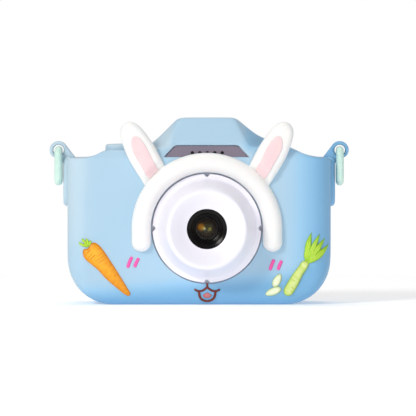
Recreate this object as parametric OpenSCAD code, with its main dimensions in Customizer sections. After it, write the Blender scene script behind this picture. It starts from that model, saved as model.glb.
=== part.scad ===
// Child's compact digital camera in a silicone cover with rabbit trim.
// Millimetres. X across the front, Y front to back (the front faces -Y), Z up from the foot.

/* [Cover] */
// Width of the cover over its two sides
body_w = 97.8; // [94:0.2:102]
// Height of the crisp front top edge
crease_z = 54.4; // [53:0.2:56]
// Height of the hump over the lens
hump_z = 69.5; // [68:0.5:72]
// Radius of the two bottom corners seen from the front
bottom_r = 17; // [14:0.5:20]
// Wall thickness of the silicone
cover_t = 2; // [1.6:0.1:2.2]
// Forward lean of the hump face, millimetres back for each one up
hump_lean = 0.45; // [0.35:0.01:0.55]

/* [Lens] */
// Sideways place of the lens
lens_x = 2.9; // [0:0.1:4]
// Height of the lens axis
lens_z = 28.4; // [26:0.2:30]
// Radius of the hole in the cover round the lens
lens_hole_r = 20.6; // [20.4:0.1:20.65]
// Distance of the barrel's front rim from the middle plane
barrel_front = 23; // [20:0.5:24]

/* [Rabbit trim] */
// Radius of the middle line of the headband
band_r = 24.3; // [24.3:0.1:25]
// Half width of the headband
band_w = 3.6; // [3:0.1:3.6]
// Length of the headband's straight ends
band_leg = 5.1; // [3:0.1:8]
// Outward lean of the ears in degrees
ear_lean = 27; // [24:1:30]
// Length of an ear along its middle line
ear_len = 22.2; // [18:0.2:24]
// Full width of an ear
ear_w = 10.7; // [9:0.1:11.5]
// Height of the raised pictures above the cover
relief = 0.7; // [0.4:0.1:1]

/* [Buttons] */
// Sideways place of the shutter button
shutter_x = -28.4; // [-30:0.1:-27]
// Radius of the shutter button
shutter_r = 6.5; // [5.5:0.1:6.6]
// Travel of the shutter button
shutter_travel = 1; // [0.6:0.1:1]
// Spacing of the direction keys from the middle key
key_pitch = 8; // [7.6:0.1:8.2]
// Radius of a rear key
key_r = 3; // [2.6:0.1:3.1]

/* [Screen] */
// Sideways place of the middle of the screen
screen_x = 11; // [10:0.5:12]
// Width of the screen cover plate
screen_w = 50; // [48:0.5:51]
// Height of the screen cover plate
screen_h = 37; // [36:0.5:38]

/* [Strap eyes] */
// Distance of an eye from the middle of the body
eye_x = 52.4; // [52.4:0.1:53]
// Height of an eye
eye_z = 57.2; // [56:0.2:58]
// Length of a strap link from its top to its bottom
link_len = 14.6; // [13:0.2:17]

/* [Hidden] */
front_y = -9;           // front face of the cover
back_y = 23;            // rear face of the cover
half_w = body_w / 2;
band_h = 3.7;            // height of the headband
gap = 0.05;             // play between parts that sit against each other
clear = 0.35;           // play round anything that moves
shell_in = cover_t + gap;
shell_t = 1.8;
room_in = shell_in + shell_t;
split_y = 7;            // joint plane of the two shell halves
shell_front = front_y + shell_in;
shell_back = back_y - shell_in;
lean_angle = atan(hump_lean);
mid_y = (front_y + back_y) / 2;
bevel_turn = -28;       // turn of the hump's two cut corners, seen from above
bevel_tilt = -40;       // their lean towards the hump
bevel_foot = 58.3;      // height at which they start
shutter_y = 3;
shutter_top = 59.6;
panel_y = 22.4;         // face of the raised rear panel
screen_z = 28.5;
pad_x = -30.5;          // middle of the direction pad
pad_z = 23.5;
upper_key_z = 41;
board_y = 8.5;          // front face of the main board
eye_y = 4;
eye_hole = 1.95;
link_r = 1.4;
link_half = 4.2;        // half spacing of the two legs of a link
link_bend = 2.4;
cap_len = 2.9;           // height of the shutter cap
cap_foot = shutter_top - cap_len;
switch_top = 46.6;
dome_y = 16.5;          // tips of the rear key domes
key_travel = 0.4;
screws = [[-39.5, 10], [39.5, 10], [-41.8, 47.3], [41.8, 47.3]];
// sideways place and height of each rear key
pad_keys = [[pad_x, pad_z + key_pitch], [pad_x, pad_z - key_pitch],
            [pad_x + key_pitch, pad_z], [pad_x - key_pitch, pad_z], [pad_x, pad_z],
            [pad_x - 6, upper_key_z], [pad_x + 6, upper_key_z]];
selfie_x = 2.9;
selfie_z = 58;
usb_z = 33;
card_z = 20.5;
service_x = half_w - 6;
$fn = 48;

blue = [0.70, 0.83, 0.91];
white = [0.97, 0.97, 0.96];
pink = [0.98, 0.87, 0.88];
lilac = [0.93, 0.92, 0.97];
grey = [0.50, 0.47, 0.54];
dark = [0.12, 0.11, 0.12];
orange = [0.97, 0.73, 0.19];
leaf = [0.66, 0.80, 0.33];
pale_green = [0.83, 0.90, 0.60];
steel = [0.75, 0.76, 0.78];
board_green = [0.10, 0.38, 0.22];
mint = [0.87, 0.97, 0.89];

// ---- outlines -------------------------------------------------------------

// points of an arc about (x, y)
function arc(x, y, r, from, to, steps = 8) =
  [for (i = [0:steps]) let (a = from + (to - from) * i / steps) [x + r * cos(a), y + r * sin(a)]];

// one point of a smooth curve through b and c
function between(a, b, c, d, t) =
  0.5 * (2 * b + (c - a) * t + (2 * a - 5 * b + 4 * c - d) * t * t + (3 * b - a - 3 * c + d) * t * t * t);

// smooth closed curve through a list of points
function smooth_loop(p, steps = 3) = let (n = len(p))
  [for (i = [0:n - 1], s = [0:steps - 1])
    between(p[(i + n - 1) % n], p[i], p[(i + 1) % n], p[(i + 2) % n], s / steps)];

// smooth open curve through a list of points
function smooth_run(p, steps = 4) = let (n = len(p), last = n - 1)
  concat([for (i = [0:n - 2], s = [0:steps - 1])
    between(p[max(i - 1, 0)], p[i], p[i + 1], p[min(i + 2, last)], s / steps)], [p[last]]);

function side_step(p, i) = let (a = p[max(i - 1, 0)], b = p[min(i + 1, len(p) - 1)], d = b - a)
  [-d[1], d[0]] / norm(d);

// outline of a line of even width drawn through points
function ribbon(p, w) = concat(
  [for (i = [0:len(p) - 1]) p[i] + side_step(p, i) * w / 2],
  [for (i = [len(p) - 1:-1:0]) p[i] - side_step(p, i) * w / 2]);

function rounded(x0, x1, y0, y1, r) = concat(
  arc(x1 - r, y0 + r, r, -90, 0), arc(x1 - r, y1 - r, r, 0, 90),
  arc(x0 + r, y1 - r, r, 90, 180), arc(x0 + r, y0 + r, r, 180, 270));

// top line of the cover seen from the front, right to left
function top_line() = smooth_run([[half_w - 0.4, crease_z], [44.5, crease_z + 0.1],
  [41.6, 55.0], [38.8, 55.9], [33.8, 58.2], [28, 60.2], [23.7, 61.8], [20.8, 63.4],
  [17.2, 66.2], [14.4, 68.5], [12.7, hump_z - 0.2], [10, hump_z], [-3.4, hump_z],
  [-6.1, hump_z - 0.2], [-8.2, 68.6], [-11.5, 65.5], [-14.2, 62.8], [-17.2, 60.2],
  [-20.4, 58.2], [-24, 57.5], [-32, 57.4], [-34.6, 57.1], [-36.6, 56.4], [-38.8, 55.3],
  [-41, 54.6], [-44, crease_z], [-half_w + 0.4, crease_z]], 3);

module front_shape(inset) {
  offset(delta = -inset)
    polygon(concat(
      arc(-half_w + bottom_r, bottom_r, bottom_r, 180, 270, 14),
      arc(half_w - bottom_r, bottom_r, bottom_r, 270, 360, 14),
      top_line()));
}

module side_shape(inset) {
  offset(delta = -inset)
    polygon(concat(
      arc(front_y + 5, 5, 5, 180, 270),
      arc(back_y - 5, 5, 5, 270, 360),
      [[back_y, 49], [back_y - 0.3, 52.2], [back_y - 0.9, 54.8], [back_y - 2, 58.2],
       [back_y - 3.6, 62], [back_y - 5.6, 65.6], [back_y - 7.6, 68], [back_y - 9.6, 69.2],
       [back_y - 12, hump_z + 1], [front_y + (hump_z + 1 - crease_z) * hump_lean, hump_z + 1],
       [front_y, crease_z]]));
}

module plan_shape(inset) {
  offset(delta = -inset)
    polygon(concat(
      arc(half_w - 7.5, front_y + 7.5, 7.5, -90, 0), arc(half_w - 6, back_y - 6, 6, 0, 90),
      arc(-half_w + 6, back_y - 6, 6, 90, 180), arc(-half_w + 7.5, front_y + 7.5, 7.5, 180, 270)));
}

// ---- helpers --------------------------------------------------------------

// a flat outline in X and Z, made solid from y0 to y1
module along_y(y0, y1) {
  translate([0, y1, 0])
    rotate([90, 0, 0])
      linear_extrude(y1 - y0)
        children();
}

// a flat outline in Y and Z, made solid from x0 to x1
module along_x(x0, x1) {
  translate([x0, 0, 0])
    rotate([90, 0, 90])
      linear_extrude(x1 - x0)
        children();
}

// the wedge cut off one front corner of the hump: side is 1 for the right corner, -1 for the left
module hump_bevel(side, inset) {
  edge_x = lens_x + side * 14.2;        // where the cut meets the hump face, at the height below
  edge_z = 60.9;
  edge_y = front_y + (edge_z - crease_z) * hump_lean;
  intersection() {
    translate([edge_x, edge_y, edge_z])
      rotate([0, side * bevel_tilt, 0])
        rotate([0, 0, side * bevel_turn])
          translate([side > 0 ? -inset : inset - 60, -60, -60])
            cube([60, 120, 120]);
    translate([side > 0 ? lens_x : lens_x - 60, front_y - 5, bevel_foot - inset])
      cube([60, 40, 40]);
  }
}

// the body form, drawn in by an even amount on every side
module body_form(inset) {
  difference() {
    intersection() {
      along_y(front_y - 5, back_y + 5)
        front_shape(inset);
      along_x(-half_w - 5, half_w + 5)
        side_shape(inset);
      translate([0, 0, -5])
        linear_extrude(hump_z + 20)
          plan_shape(inset);
    }
    hump_bevel(1, inset);
    hump_bevel(-1, inset);
  }
}

module rod_y(x, z, r, y0, y1) {
  translate([x, y1, z])
    rotate([90, 0, 0])
      cylinder(r = r, h = y1 - y0);
}

module box(x0, x1, y0, y1, z0, z1) {
  translate([x0, y0, z0])
    cube([x1 - x0, y1 - y0, z1 - z0]);
}

// a turned part on the lens axis from points of radius and forward distance
module turned(points) {
  translate([lens_x, 0, lens_z])
    rotate([90, 0, 0])
      rotate_extrude()
        polygon(points);
}

// a picture standing proud of the cover and following its surface
module raised(height = relief) {
  intersection() {
    along_y(front_y - 3, mid_y)
      children();
    difference() {
      body_form(-height);
      body_form(0);
    }
  }
}

// places things on the sloping face of the hump: X across, Y inwards, Z up the slope
module on_hump() {
  translate([lens_x, front_y, crease_z])
    rotate([-lean_angle, 0, 0])
      children();
}

module grille_outline(grow) {
  low = 0.6 - grow;
  high = 5.2 + grow;
  polygon(concat([[-15.9 - grow, low], [15.6 + grow, low]], arc(10.4 + grow / 2, high - 2.4, 2.4, 42, 90),
    arc(-10.7 - grow / 2, high - 2.4, 2.4, 90, 138)));
}

module grille_holes(y0, y1) {
  for (i = [-2:2])
    rod_y(0.15 + i * 2.76, 2.5, 0.68, y0, y1);
}

module mirrored_on_lens() {
  translate([lens_x, 0, 0])
    mirror([1, 0, 0])
      translate([-lens_x, 0, 0])
        children();
}

// ---- cover ----------------------------------------------------------------

module strap_lug(side) {
  difference() {
    on_side(side) {
      along_x(half_w - 1, half_w + 1.7)
        polygon(rounded(eye_y - 4.4, eye_y + 4.4, 36.3, 55.2, 4.3));
      along_y(eye_y - 1.6, eye_y + 1.6)
        polygon(concat([[46.2, 51], [half_w + 1.7, 53]],
          arc(eye_x, eye_z, 3.35, -40, 140, 16), [[46.2, crease_z]]));
    }
    on_side(side)
      rod_y(eye_x, eye_z, eye_hole, eye_y - 5, eye_y + 5);
  }
}

// turns things round to one of the two sides
module on_side(side) {
  rotate([0, 0, side > 0 ? 0 : 180])
    translate([0, side > 0 ? 0 : -2 * eye_y, 0])
      children();
}

module silicone_case() {
  color(blue) {
    difference() {
      union() {
        body_form(0);
        strap_lug(1);
        strap_lug(-1);
      }
      body_form(cover_t);
      rod_y(lens_x, lens_z, lens_hole_r, front_y - 1, 0);
      on_hump()
        along_y(-2, 4)
          grille_outline(0.15);
      translate([shutter_x, shutter_y, crease_z - 3])
        cylinder(r = shutter_r + clear, h = 10);
      along_y(mid_y + 8, back_y + 2)
        polygon(rounded(-43.4, 43.4, 5.2, 49.4, 9));
      rod_y(selfie_x, selfie_z, 4.9, 16, back_y + 2);
      along_x(half_w - 4, half_w + 1)
        polygon(rounded(8.9, 16.4, 13, 38.6, 2.5));
    }
  }
}

// the headband's section: a low dome on a flat foot
function band_section() = concat([[band_r - band_w, 0]],
  [for (i = [1:9]) let (a = 180 - 18 * i) [band_r + band_w * cos(a), band_h * sin(a)]],
  [[band_r + band_w, 0]]);

// half of the same dome, which turned closes a straight end
function band_end() = concat([[0, 0]],
  [for (i = [0:5]) [band_w * cos(18 * i), band_h * sin(18 * i)]]);

module headband() {
  color(white)
    translate([lens_x, front_y - gap, lens_z])
      rotate([90, 0, 0]) {
        rotate_extrude(angle = 180)
          polygon(band_section());
        for (s = [0, 1])
          mirror([s, 0, 0]) {
            rotate([90, 0, 0])
              linear_extrude(band_leg)
                polygon(band_section());
            translate([band_r, -band_leg, 0])
              rotate([0, 0, 180])
                rotate_extrude(angle = 180)
                  polygon(band_end());
          }
      }
}

// flat outline of an ear across and along its own axis: fuller on its outer side, with a round tip
function ear_outline() = let (h = ear_w / 2, t = ear_len)
  smooth_run([[h * 0.97, -1.5], [h * 1.07, t * 0.22], [h * 1.12, t * 0.5], [h, t * 0.76],
    [h * 0.77, t * 0.92], [h * 0.36, t], [-h * 0.1, t * 0.99], [-h * 0.45, t * 0.91],
    [-h * 0.68, t * 0.76], [-h * 0.87, t * 0.49], [-h * 0.9, t * 0.25], [-h * 0.88, -1.5]]);

module ear_place() {
  translate([lens_x + 19.1, 0, lens_z + 19.5])
    rotate([0, ear_lean, 0])
      children();
}

module ear_plate() {
  difference() {
    ear_place()
      along_y(front_y - 3.2, front_y - gap)
        polygon(ear_outline());
    rod_y(lens_x, lens_z, band_r + band_w + 0.1, front_y - 6, front_y + 1);
  }
}

module ear_inlay() {
  difference() {
    ear_place()
      along_y(front_y - 3.75, front_y - 3.2 - gap / 5)
        polygon(smooth_loop([[-2.2, 1], [-2.3, 8], [-1.9, 14.4], [0, 16.9], [1.9, 14.4],
          [2.3, 8], [2.2, 1]]));
    rod_y(lens_x, lens_z, band_r + band_w + 1.3, front_y - 6, front_y + 1);
  }
}

module right_ear() {
  color(white)
    ear_plate();
}

module left_ear() {
  color(white)
    mirrored_on_lens()
      ear_plate();
}

module right_inner_ear() {
  color(pink)
    ear_inlay();
}

module left_inner_ear() {
  color(pink)
    mirrored_on_lens()
      ear_inlay();
}

module carrot_root() {
  color(orange)
    raised(1)
      polygon(smooth_loop([[-41.2, 20.9], [-42.6, 20.7], [-43.1, 19.4], [-42.4, 17.3],
        [-40.2, 15.2], [-37.5, 13], [-34.6, 9.8], [-31.4, 7], [-27.8, 4.1], [-26.2, 3.3],
        [-25.4, 4.2], [-26.7, 6.6], [-29.3, 10.9], [-32.3, 15.6], [-35.5, 20.4],
        [-37.6, 22.6], [-39.2, 23.1], [-40.5, 22.2]]));
}

module carrot_leaves() {
  color(leaf)
    raised(0.8)
      polygon([[-40.7, 22.4], [-40.3, 23.9], [-41.3, 23.5], [-41.9, 24.5], [-42.4, 23.6],
        [-43.7, 24.6], [-43.5, 23.3], [-44.5, 22.9], [-43.2, 22.1], [-42.4, 21.2], [-41.4, 21.3]]);
}

module radish_root() {
  color(pale_green)
    raised(1)
      polygon(smooth_loop([[38.4, 16.3], [36.6, 14], [34.7, 11.5], [32.7, 8.3], [31.4, 5.9],
        [31.5, 4.2], [32.8, 3.3], [34.4, 3.9], [35.7, 5.8], [37.1, 8.3], [38.4, 11.1],
        [39.9, 13.4], [40.7, 15.3]]));
}

module radish_leaves() {
  color(leaf)
    raised(0.8)
      polygon([[41.1, 15.7], [42.9, 16.6], [44.5, 17.8], [46.1, 19.2], [47.5, 20.8],
        [48.1, 22.4], [46.5, 22], [44.5, 21], [45.5, 22.8], [46.4, 24.8], [44.5, 24.2],
        [45, 26.3], [42.9, 24], [42.3, 23.6], [41.5, 26.7], [40.3, 23.2], [39.5, 20.4],
        [38.8, 17.6], [38.8, 16.6]]);
}

function slice_outline(x, z, long, wide, angle) = [for (i = [0:19]) let (a = 18 * i,
  u = long * cos(a) / 2, v = wide * sin(a) / 2)
  [x + u * cos(angle) - v * sin(angle), z + u * sin(angle) + v * cos(angle)]];

module radish_slices() {
  color([0.95, 0.97, 0.88]) {
    raised()
      polygon(slice_outline(28.9, 9.1, 5.4, 2.2, 54));
    raised()
      polygon(slice_outline(27.5, 5, 6.4, 2.5, 28));
  }
}

module blush_marks() {
  color([0.97, 0.29, 0.64])
    for (s = [[-24.8, 17.9, -26.5, 13.7], [-22.4, 17.3, -23.9, 13.9],
              [27.8, 16.9, 26.3, 12.8], [30.6, 16.5, 29.3, 13.0]])
      raised(0.4)
        polygon(ribbon([[s[0], s[1]], [s[2] + 0.5, (s[1] + s[3]) / 2], [s[2], s[3]]], 0.85));
}

module mouth_line() {
  color([0.4, 0.13, 0.09])
    raised(0.4) {
      polygon(ribbon([[3, 8.1], [3, 5.8]], 0.75));
      polygon(ribbon(smooth_run([[-1.7, 5.7], [0.1, 5.1], [1.7, 5.5], [3, 6.1], [4.3, 5.5],
        [5.9, 5.1], [7.7, 5.7]]), 0.75));
      polygon(ribbon(smooth_run([[-0.2, 5.1], [0.3, 3], [1.4, 1.6], [3, 1.1], [4.6, 1.6],
        [5.8, 3], [6.2, 5.1]]), 0.75));
    }
}

module tongue() {
  color([0.84, 0.51, 0.51])
    raised(0.4)
      polygon([[3, 4.8], [1.4, 3.8], [2.3, 2.6], [3.7, 2.6], [4.7, 3.8]]);
}

// ---- hard shell -----------------------------------------------------------

// room for the shutter button to sink into the top of the shell
module button_pocket() {
  translate([shutter_x, shutter_y, cap_foot - shutter_travel - 0.4])
    cylinder(r = shutter_r + clear + 0.3, h = 10);
}

module shell_half(y0, y1) {
  intersection() {
    difference() {
      body_form(shell_in);
      body_form(room_in);
    }
    box(-half_w, half_w, y0, y1, -1, hump_z + 5);
  }
}

// screw heads: the upper pair sits under the cover, so it is sunk deeper
function head_top(p) = p[1] > 40 ? shell_back - 0.3 : panel_y - 0.9;

module front_shell() {
  color(lilac)
    difference() {
      union() {
        shell_half(front_y, split_y);
        for (p = screws)
          rod_y(p[0], p[1], 2.4, front_y + room_in - 0.5, split_y);
      }
      for (p = screws)
        rod_y(p[0], p[1], 1, split_y - 8, split_y + 1);
      rod_y(lens_x, lens_z, 9.8, front_y, 0);
      on_hump()
        grille_holes(-1, 6);
      translate([shutter_x, shutter_y, switch_top])
        cylinder(r = 2 + clear, h = 20);
      button_pocket();
    }
}

module rear_shell() {
  color(lilac)
    difference() {
      union() {
        shell_half(split_y + gap, back_y);
        along_y(shell_back - 1, panel_y)
          polygon(rounded(-43, 43, 5.6, 49, 8.6));
        for (p = screws)
          rod_y(p[0], p[1], 2.4, split_y + gap, shell_back - 0.5);
        rod_y(selfie_x, selfie_z, 4.6, 17.5, 22.2);
      }
      for (p = screws) {
        rod_y(p[0], p[1], 1.25, split_y - 1, back_y);
        rod_y(p[0], p[1], 2.1, head_top(p) - 1.5, back_y);
      }
      for (p = pad_keys) {
        rod_y(p[0], p[1], key_r + clear, shell_back - 4, back_y);
      }
      along_y(panel_y - 1.4, back_y)
        polygon(rounded(screen_x - screen_w / 2 - gap, screen_x + screen_w / 2 + gap,
          screen_z - screen_h / 2 - gap, screen_z + screen_h / 2 + gap, 3));
      along_y(shell_back - 4, back_y)
        polygon(rounded(screen_x - 21, screen_x + 21, screen_z - 15.8, screen_z + 15.8, 1));
      rod_y(selfie_x, selfie_z, 3.6, 20.8, back_y);
      rod_y(selfie_x, selfie_z, 2.4, 16, back_y);
      along_x(service_x, half_w)
        polygon(rounded(9.55, 13.15, usb_z - 4.7, usb_z + 4.7, 1.7));
      box(service_x, half_w, 9.9, 11.5, card_z - 5.9, card_z + 5.9);
      button_pocket();
    }
}

module speaker_grille() {
  color(grey)
    on_hump()
      difference() {
        along_y(0.9, 2)
          grille_outline(0);
        grille_holes(0, 3);
      }
}

module shell_screws() {
  color(steel)
    for (p = screws)
      difference() {
        union() {
          rod_y(p[0], p[1], 0.96, split_y - 6.5, head_top(p) - 0.6);
          rod_y(p[0], p[1], 1.95, head_top(p) - 1.45, head_top(p));
        }
        along_y(head_top(p) - 0.6, panel_y) {
          translate(p)
            square([0.5, 2.4], center = true);
          translate(p)
            square([2.4, 0.5], center = true);
        }
      }
}

// ---- lens -----------------------------------------------------------------

module lens_barrel() {
  color(lilac)
    difference() {
      turned([[9.3, 4], [9.3, 17.4], [11.6, 21.2], [13.9, 21.4], [16.2, 9], [16.2, 7],
        [20.2, 7], [20.2, 9.3], [19.9, 9.6], [17.8, 9.6], [17.4, 10.6], [15.7, 21.4],
        [15.3, 22.4], [14.3, barrel_front], [12, barrel_front], [11.4, 22.6],
        [9.3, 19.4], [9.1, 18.8], [7.7, 18.6], [7.7, 4]]);
      translate([lens_x, 0, lens_z])
        for (a = [0:90:270])
          rotate([0, a, 0])
            box(-1.05, 1.05, -10, -6, 19, 21);
    }
}

module lens_tube() {
  color(dark)
    turned([[7.6, 1.6], [7.6, 18.3], [7.1, 18.3], [6.9, 17], [6.2, 16.6], [6, 15.4],
      [5.3, 15], [5.1, 14], [4.6, 13.8], [4.6, 12.6], [4, 12.6], [4, 3], [5.5, 3], [5.5, 1.6]]);
}

module cover_glass() {
  color([0.75, 0.72, 0.6, 0.4])
    turned([[0, 12.65], [4.5, 12.65], [4.5, 13.5], [0, 13.5]]);
}

module lens_ring() {
  color(grey)
    turned([[3.1, 11.4], [3.9, 11.4], [3.9, 12.4], [3.3, 12.4]]);
}

module front_lens() {
  color([0.7, 0.8, 0.7, 0.4])
    turned(concat([for (i = [0:8]) let (r = 3.9 * i / 8) [r, 11.25 - 0.05 * r * r]],
      [for (i = [8:-1:0]) let (r = 3.9 * i / 8) [r, 8 + 0.06 * r * r]]));
}

module rear_lens() {
  color([0.7, 0.8, 0.7, 0.4])
    turned(concat([for (i = [0:8]) let (r = 3.9 * i / 8) [r, 5.6 + 0.07 * r * r]],
      [for (i = [8:-1:0]) let (r = 3.9 * i / 8) [r, 4.4 + 0.01 * r * r]]));
}

module image_sensor() {
  color(dark)
    box(lens_x - 3, lens_x + 3, -1.5, -0.4, lens_z - 2.5, lens_z + 2.5);
}

module sensor_board() {
  color(board_green)
    box(lens_x - 7, lens_x + 7, -0.4, 0.6, lens_z - 7, lens_z + 7);
}

module sensor_ribbon() {
  color([0.85, 0.55, 0.2])
    along_x(lens_x - 4, lens_x + 4)
      polygon([[0.62, lens_z - 4], [0.62, lens_z - 10.2], [board_y - 0.3, lens_z - 12.5],
        [board_y - 0.3, lens_z - 15], [board_y - 0.02, lens_z - 15],
        [board_y - 0.02, lens_z - 12.2], [0.92, lens_z - 9.9], [0.92, lens_z - 4]]);
}

// ---- electronics ----------------------------------------------------------

module main_board() {
  color(board_green)
    along_y(board_y, board_y + 1.2)
      polygon(rounded(-38, 43.5, 13.2, 44.4, 1));
}

module processor_chip() {
  color(dark)
    box(-8, 4, board_y + 1.2, board_y + 2.4, 20, 32);
}

module memory_chip() {
  color(dark)
    box(9, 17, board_y + 1.2, board_y + 2.2, 20, 30);
}

module battery() {
  color([0.7, 0.72, 0.76])
    along_y(-4.6, 1.4)
      polygon(rounded(14, 38.5, 13.6, 44, 1.2));
}

module battery_leads() {
  color([0.8, 0.1, 0.1])
    for (s = [0, 2.2])
      rod_y(28 + s, 42, 0.55, 1.4, board_y);
}

module speaker() {
  color(dark)
    on_hump()
      box(-7.5, 7.5, 4.1, 7.1, 1, 9);
}

module microphone() {
  color(steel)
    box(-14, -10.5, board_y - 1.1, board_y, 40, 43);
}

module lcd_panel() {
  color([0.08, 0.09, 0.1])
    box(screen_x - 25.4, screen_x + 25.4, 16.6, 18.9, screen_z - 17.6, screen_z + 17.6);
}

module lcd_ribbon() {
  color([0.85, 0.55, 0.2])
    box(screen_x - 5, screen_x + 5, board_y + 1.2, 16.6, 41, 41.3);
}

module usb_socket() {
  color(steel)
    difference() {
      along_x(38.6, 46.3)
        polygon(rounded(9.75, 12.95, usb_z - 4.5, usb_z + 4.5, 1.5));
      along_x(39.6, 47)
        polygon(rounded(10.05, 12.65, usb_z - 4.2, usb_z + 4.2, 1.2));
    }
}

module card_socket() {
  color(steel)
    difference() {
      box(30, 43.4, board_y + 1.2 + gap, 12.2, card_z - 7, card_z + 7);
      box(31, 44, 10.0, 11.4, card_z - 5.9, card_z + 5.9);
    }
}

module memory_card() {
  color(dark)
    along_y(10.35, 11.05)
      polygon(rounded(31.6, 46.6, card_z - 5.5, card_z + 5.5, 0.8));
}

module key_board() {
  color(board_green)
    along_y(14, 15)
      polygon(rounded(-43, -18, 12.8, 44.4, 1));
}

module key_switches() {
  color(steel)
    for (p = pad_keys) {
      box(p[0] - 2.2, p[0] + 2.2, 15, 16, p[1] - 2.2, p[1] + 2.2);
      rod_y(p[0], p[1], 1.4, 16, dome_y);
    }
}

module shutter_switch() {
  color(dark) {
    box(shutter_x - 3, shutter_x + 3, 0.2, board_y, 42, switch_top - 1);
    translate([shutter_x, shutter_y, switch_top - 1])
      cylinder(r = 1.6, h = 1);
  }
}

module screen_window() {
  color([0.05, 0.05, 0.06])
    along_y(panel_y - 1.3, panel_y - 0.1)
      polygon(rounded(screen_x - screen_w / 2, screen_x + screen_w / 2,
        screen_z - screen_h / 2, screen_z + screen_h / 2, 3));
}

module selfie_window() {
  color([0.1, 0.1, 0.12])
    rod_y(selfie_x, selfie_z, 3.55, 20.85, 22);
}

module selfie_camera() {
  color(dark) {
    box(selfie_x - 3.5, selfie_x + 3.5, 9, 14, selfie_z - 3.5, selfie_z + 3.5);
    rod_y(selfie_x, selfie_z, 2.3, 14, 20);
  }
}

// ---- moving parts ---------------------------------------------------------

module shutter_button() {
  color(blue)
    translate([shutter_x, shutter_y, cap_foot])
      rotate_extrude()
        polygon(concat([[0, 0], [shutter_r, 0]], arc(shutter_r - 1, cap_len - 1, 1, 0, 90),
          [[0, cap_len]]));
}

module shutter_plunger() {
  color(lilac)
    translate([shutter_x, shutter_y, 0])
      rotate_extrude()
        polygon([[0, switch_top + shutter_travel + 0.4], [2, switch_top + shutter_travel + 0.4],
          [2, 51.9], [3.3, 51.9], [3.3, 52.9], [2, 52.9], [2, cap_foot], [0, cap_foot]]);
}

// a rear key: a round cap with a flange inside and a stem towards its dome
module rear_key(i) {
  color(lilac)
    translate([pad_keys[i][0], 0, pad_keys[i][1]])
      rotate([-90, 0, 0])
        rotate_extrude()
          polygon([[0, dome_y + key_travel + 0.35], [1.2, dome_y + key_travel + 0.35],
            [1.2, 18], [key_r + 0.8, 18], [key_r + 0.8, 18.7], [key_r, 18.7],
            [key_r, back_y - 0.4], [key_r - 0.4, back_y], [0, back_y]]);
}

module key_up() {
  rear_key(0);
}

module key_down() {
  rear_key(1);
}

module key_right() {
  rear_key(2);
}

module key_left() {
  rear_key(3);
}

module key_ok() {
  rear_key(4);
}

module key_mode() {
  rear_key(5);
}

module key_power() {
  rear_key(6);
}

// a closed ring of round rod standing in the Y-Z plane, its top bar through the eye
module strap_link(side) {
  low = eye_z + 2 * link_r - link_len;
  flat = link_half - link_bend;
  color(mint)
    translate([side * eye_x, eye_y, 0]) {
      for (s = [-1, 1])
        translate([0, s * link_half, low + link_bend])
          cylinder(r = link_r, h = eye_z - low - 2 * link_bend);
      for (z = [low, eye_z])
        translate([0, -flat, z])
          rotate([-90, 0, 0])
            cylinder(r = link_r, h = 2 * flat);
      for (c = [[1, eye_z - link_bend, 0], [-1, eye_z - link_bend, 90],
                [-1, low + link_bend, 180], [1, low + link_bend, 270]])
        translate([0, c[0] * flat, c[1]])
          rotate([c[2], 0, 0])
            rotate([90, 0, 90])
              rotate_extrude(angle = 90)
                translate([link_bend, 0])
                  circle(r = link_r);
    }
}

module strap_link_left() {
  strap_link(-1);
}

module strap_link_right() {
  strap_link(1);
}

silicone_case();
headband();
left_ear();
right_ear();
left_inner_ear();
right_inner_ear();
carrot_root();
carrot_leaves();
radish_root();
radish_leaves();
radish_slices();
blush_marks();
mouth_line();
tongue();
front_shell();
rear_shell();
speaker_grille();
shell_screws();
lens_barrel();
lens_tube();
cover_glass();
lens_ring();
front_lens();
rear_lens();
image_sensor();
sensor_board();
sensor_ribbon();
main_board();
processor_chip();
memory_chip();
battery();
battery_leads();
speaker();
microphone();
lcd_panel();
lcd_ribbon();
usb_socket();
card_socket();
memory_card();
key_board();
key_switches();
shutter_switch();
screen_window();
selfie_window();
selfie_camera();
shutter_button();
shutter_plunger();
key_up();
key_down();
key_right();
key_left();
key_ok();
key_mode();
key_power();
strap_link_left();
strap_link_right();
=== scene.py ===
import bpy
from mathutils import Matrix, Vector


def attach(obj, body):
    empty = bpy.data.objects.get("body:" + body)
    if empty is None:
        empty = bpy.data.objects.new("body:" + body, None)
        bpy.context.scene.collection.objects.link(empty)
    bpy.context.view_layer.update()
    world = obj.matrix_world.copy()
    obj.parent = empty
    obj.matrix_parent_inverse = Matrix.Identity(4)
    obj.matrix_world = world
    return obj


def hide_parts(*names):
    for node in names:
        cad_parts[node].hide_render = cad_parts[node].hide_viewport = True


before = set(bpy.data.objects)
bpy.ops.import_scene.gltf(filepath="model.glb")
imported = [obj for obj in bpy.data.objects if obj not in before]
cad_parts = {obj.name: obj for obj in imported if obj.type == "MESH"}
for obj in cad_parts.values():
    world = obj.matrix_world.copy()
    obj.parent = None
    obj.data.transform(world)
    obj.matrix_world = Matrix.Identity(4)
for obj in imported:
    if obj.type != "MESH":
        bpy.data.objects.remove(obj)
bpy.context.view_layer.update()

import math

import bmesh
import bpy
import numpy as np

mm = 0.001
scene = bpy.context.scene
print("frame loaded:", len(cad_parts), "nodes")

# Shapes are worked out in millimetres, X across, Y back, Z up, and are scaled once, in makePiece.

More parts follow.
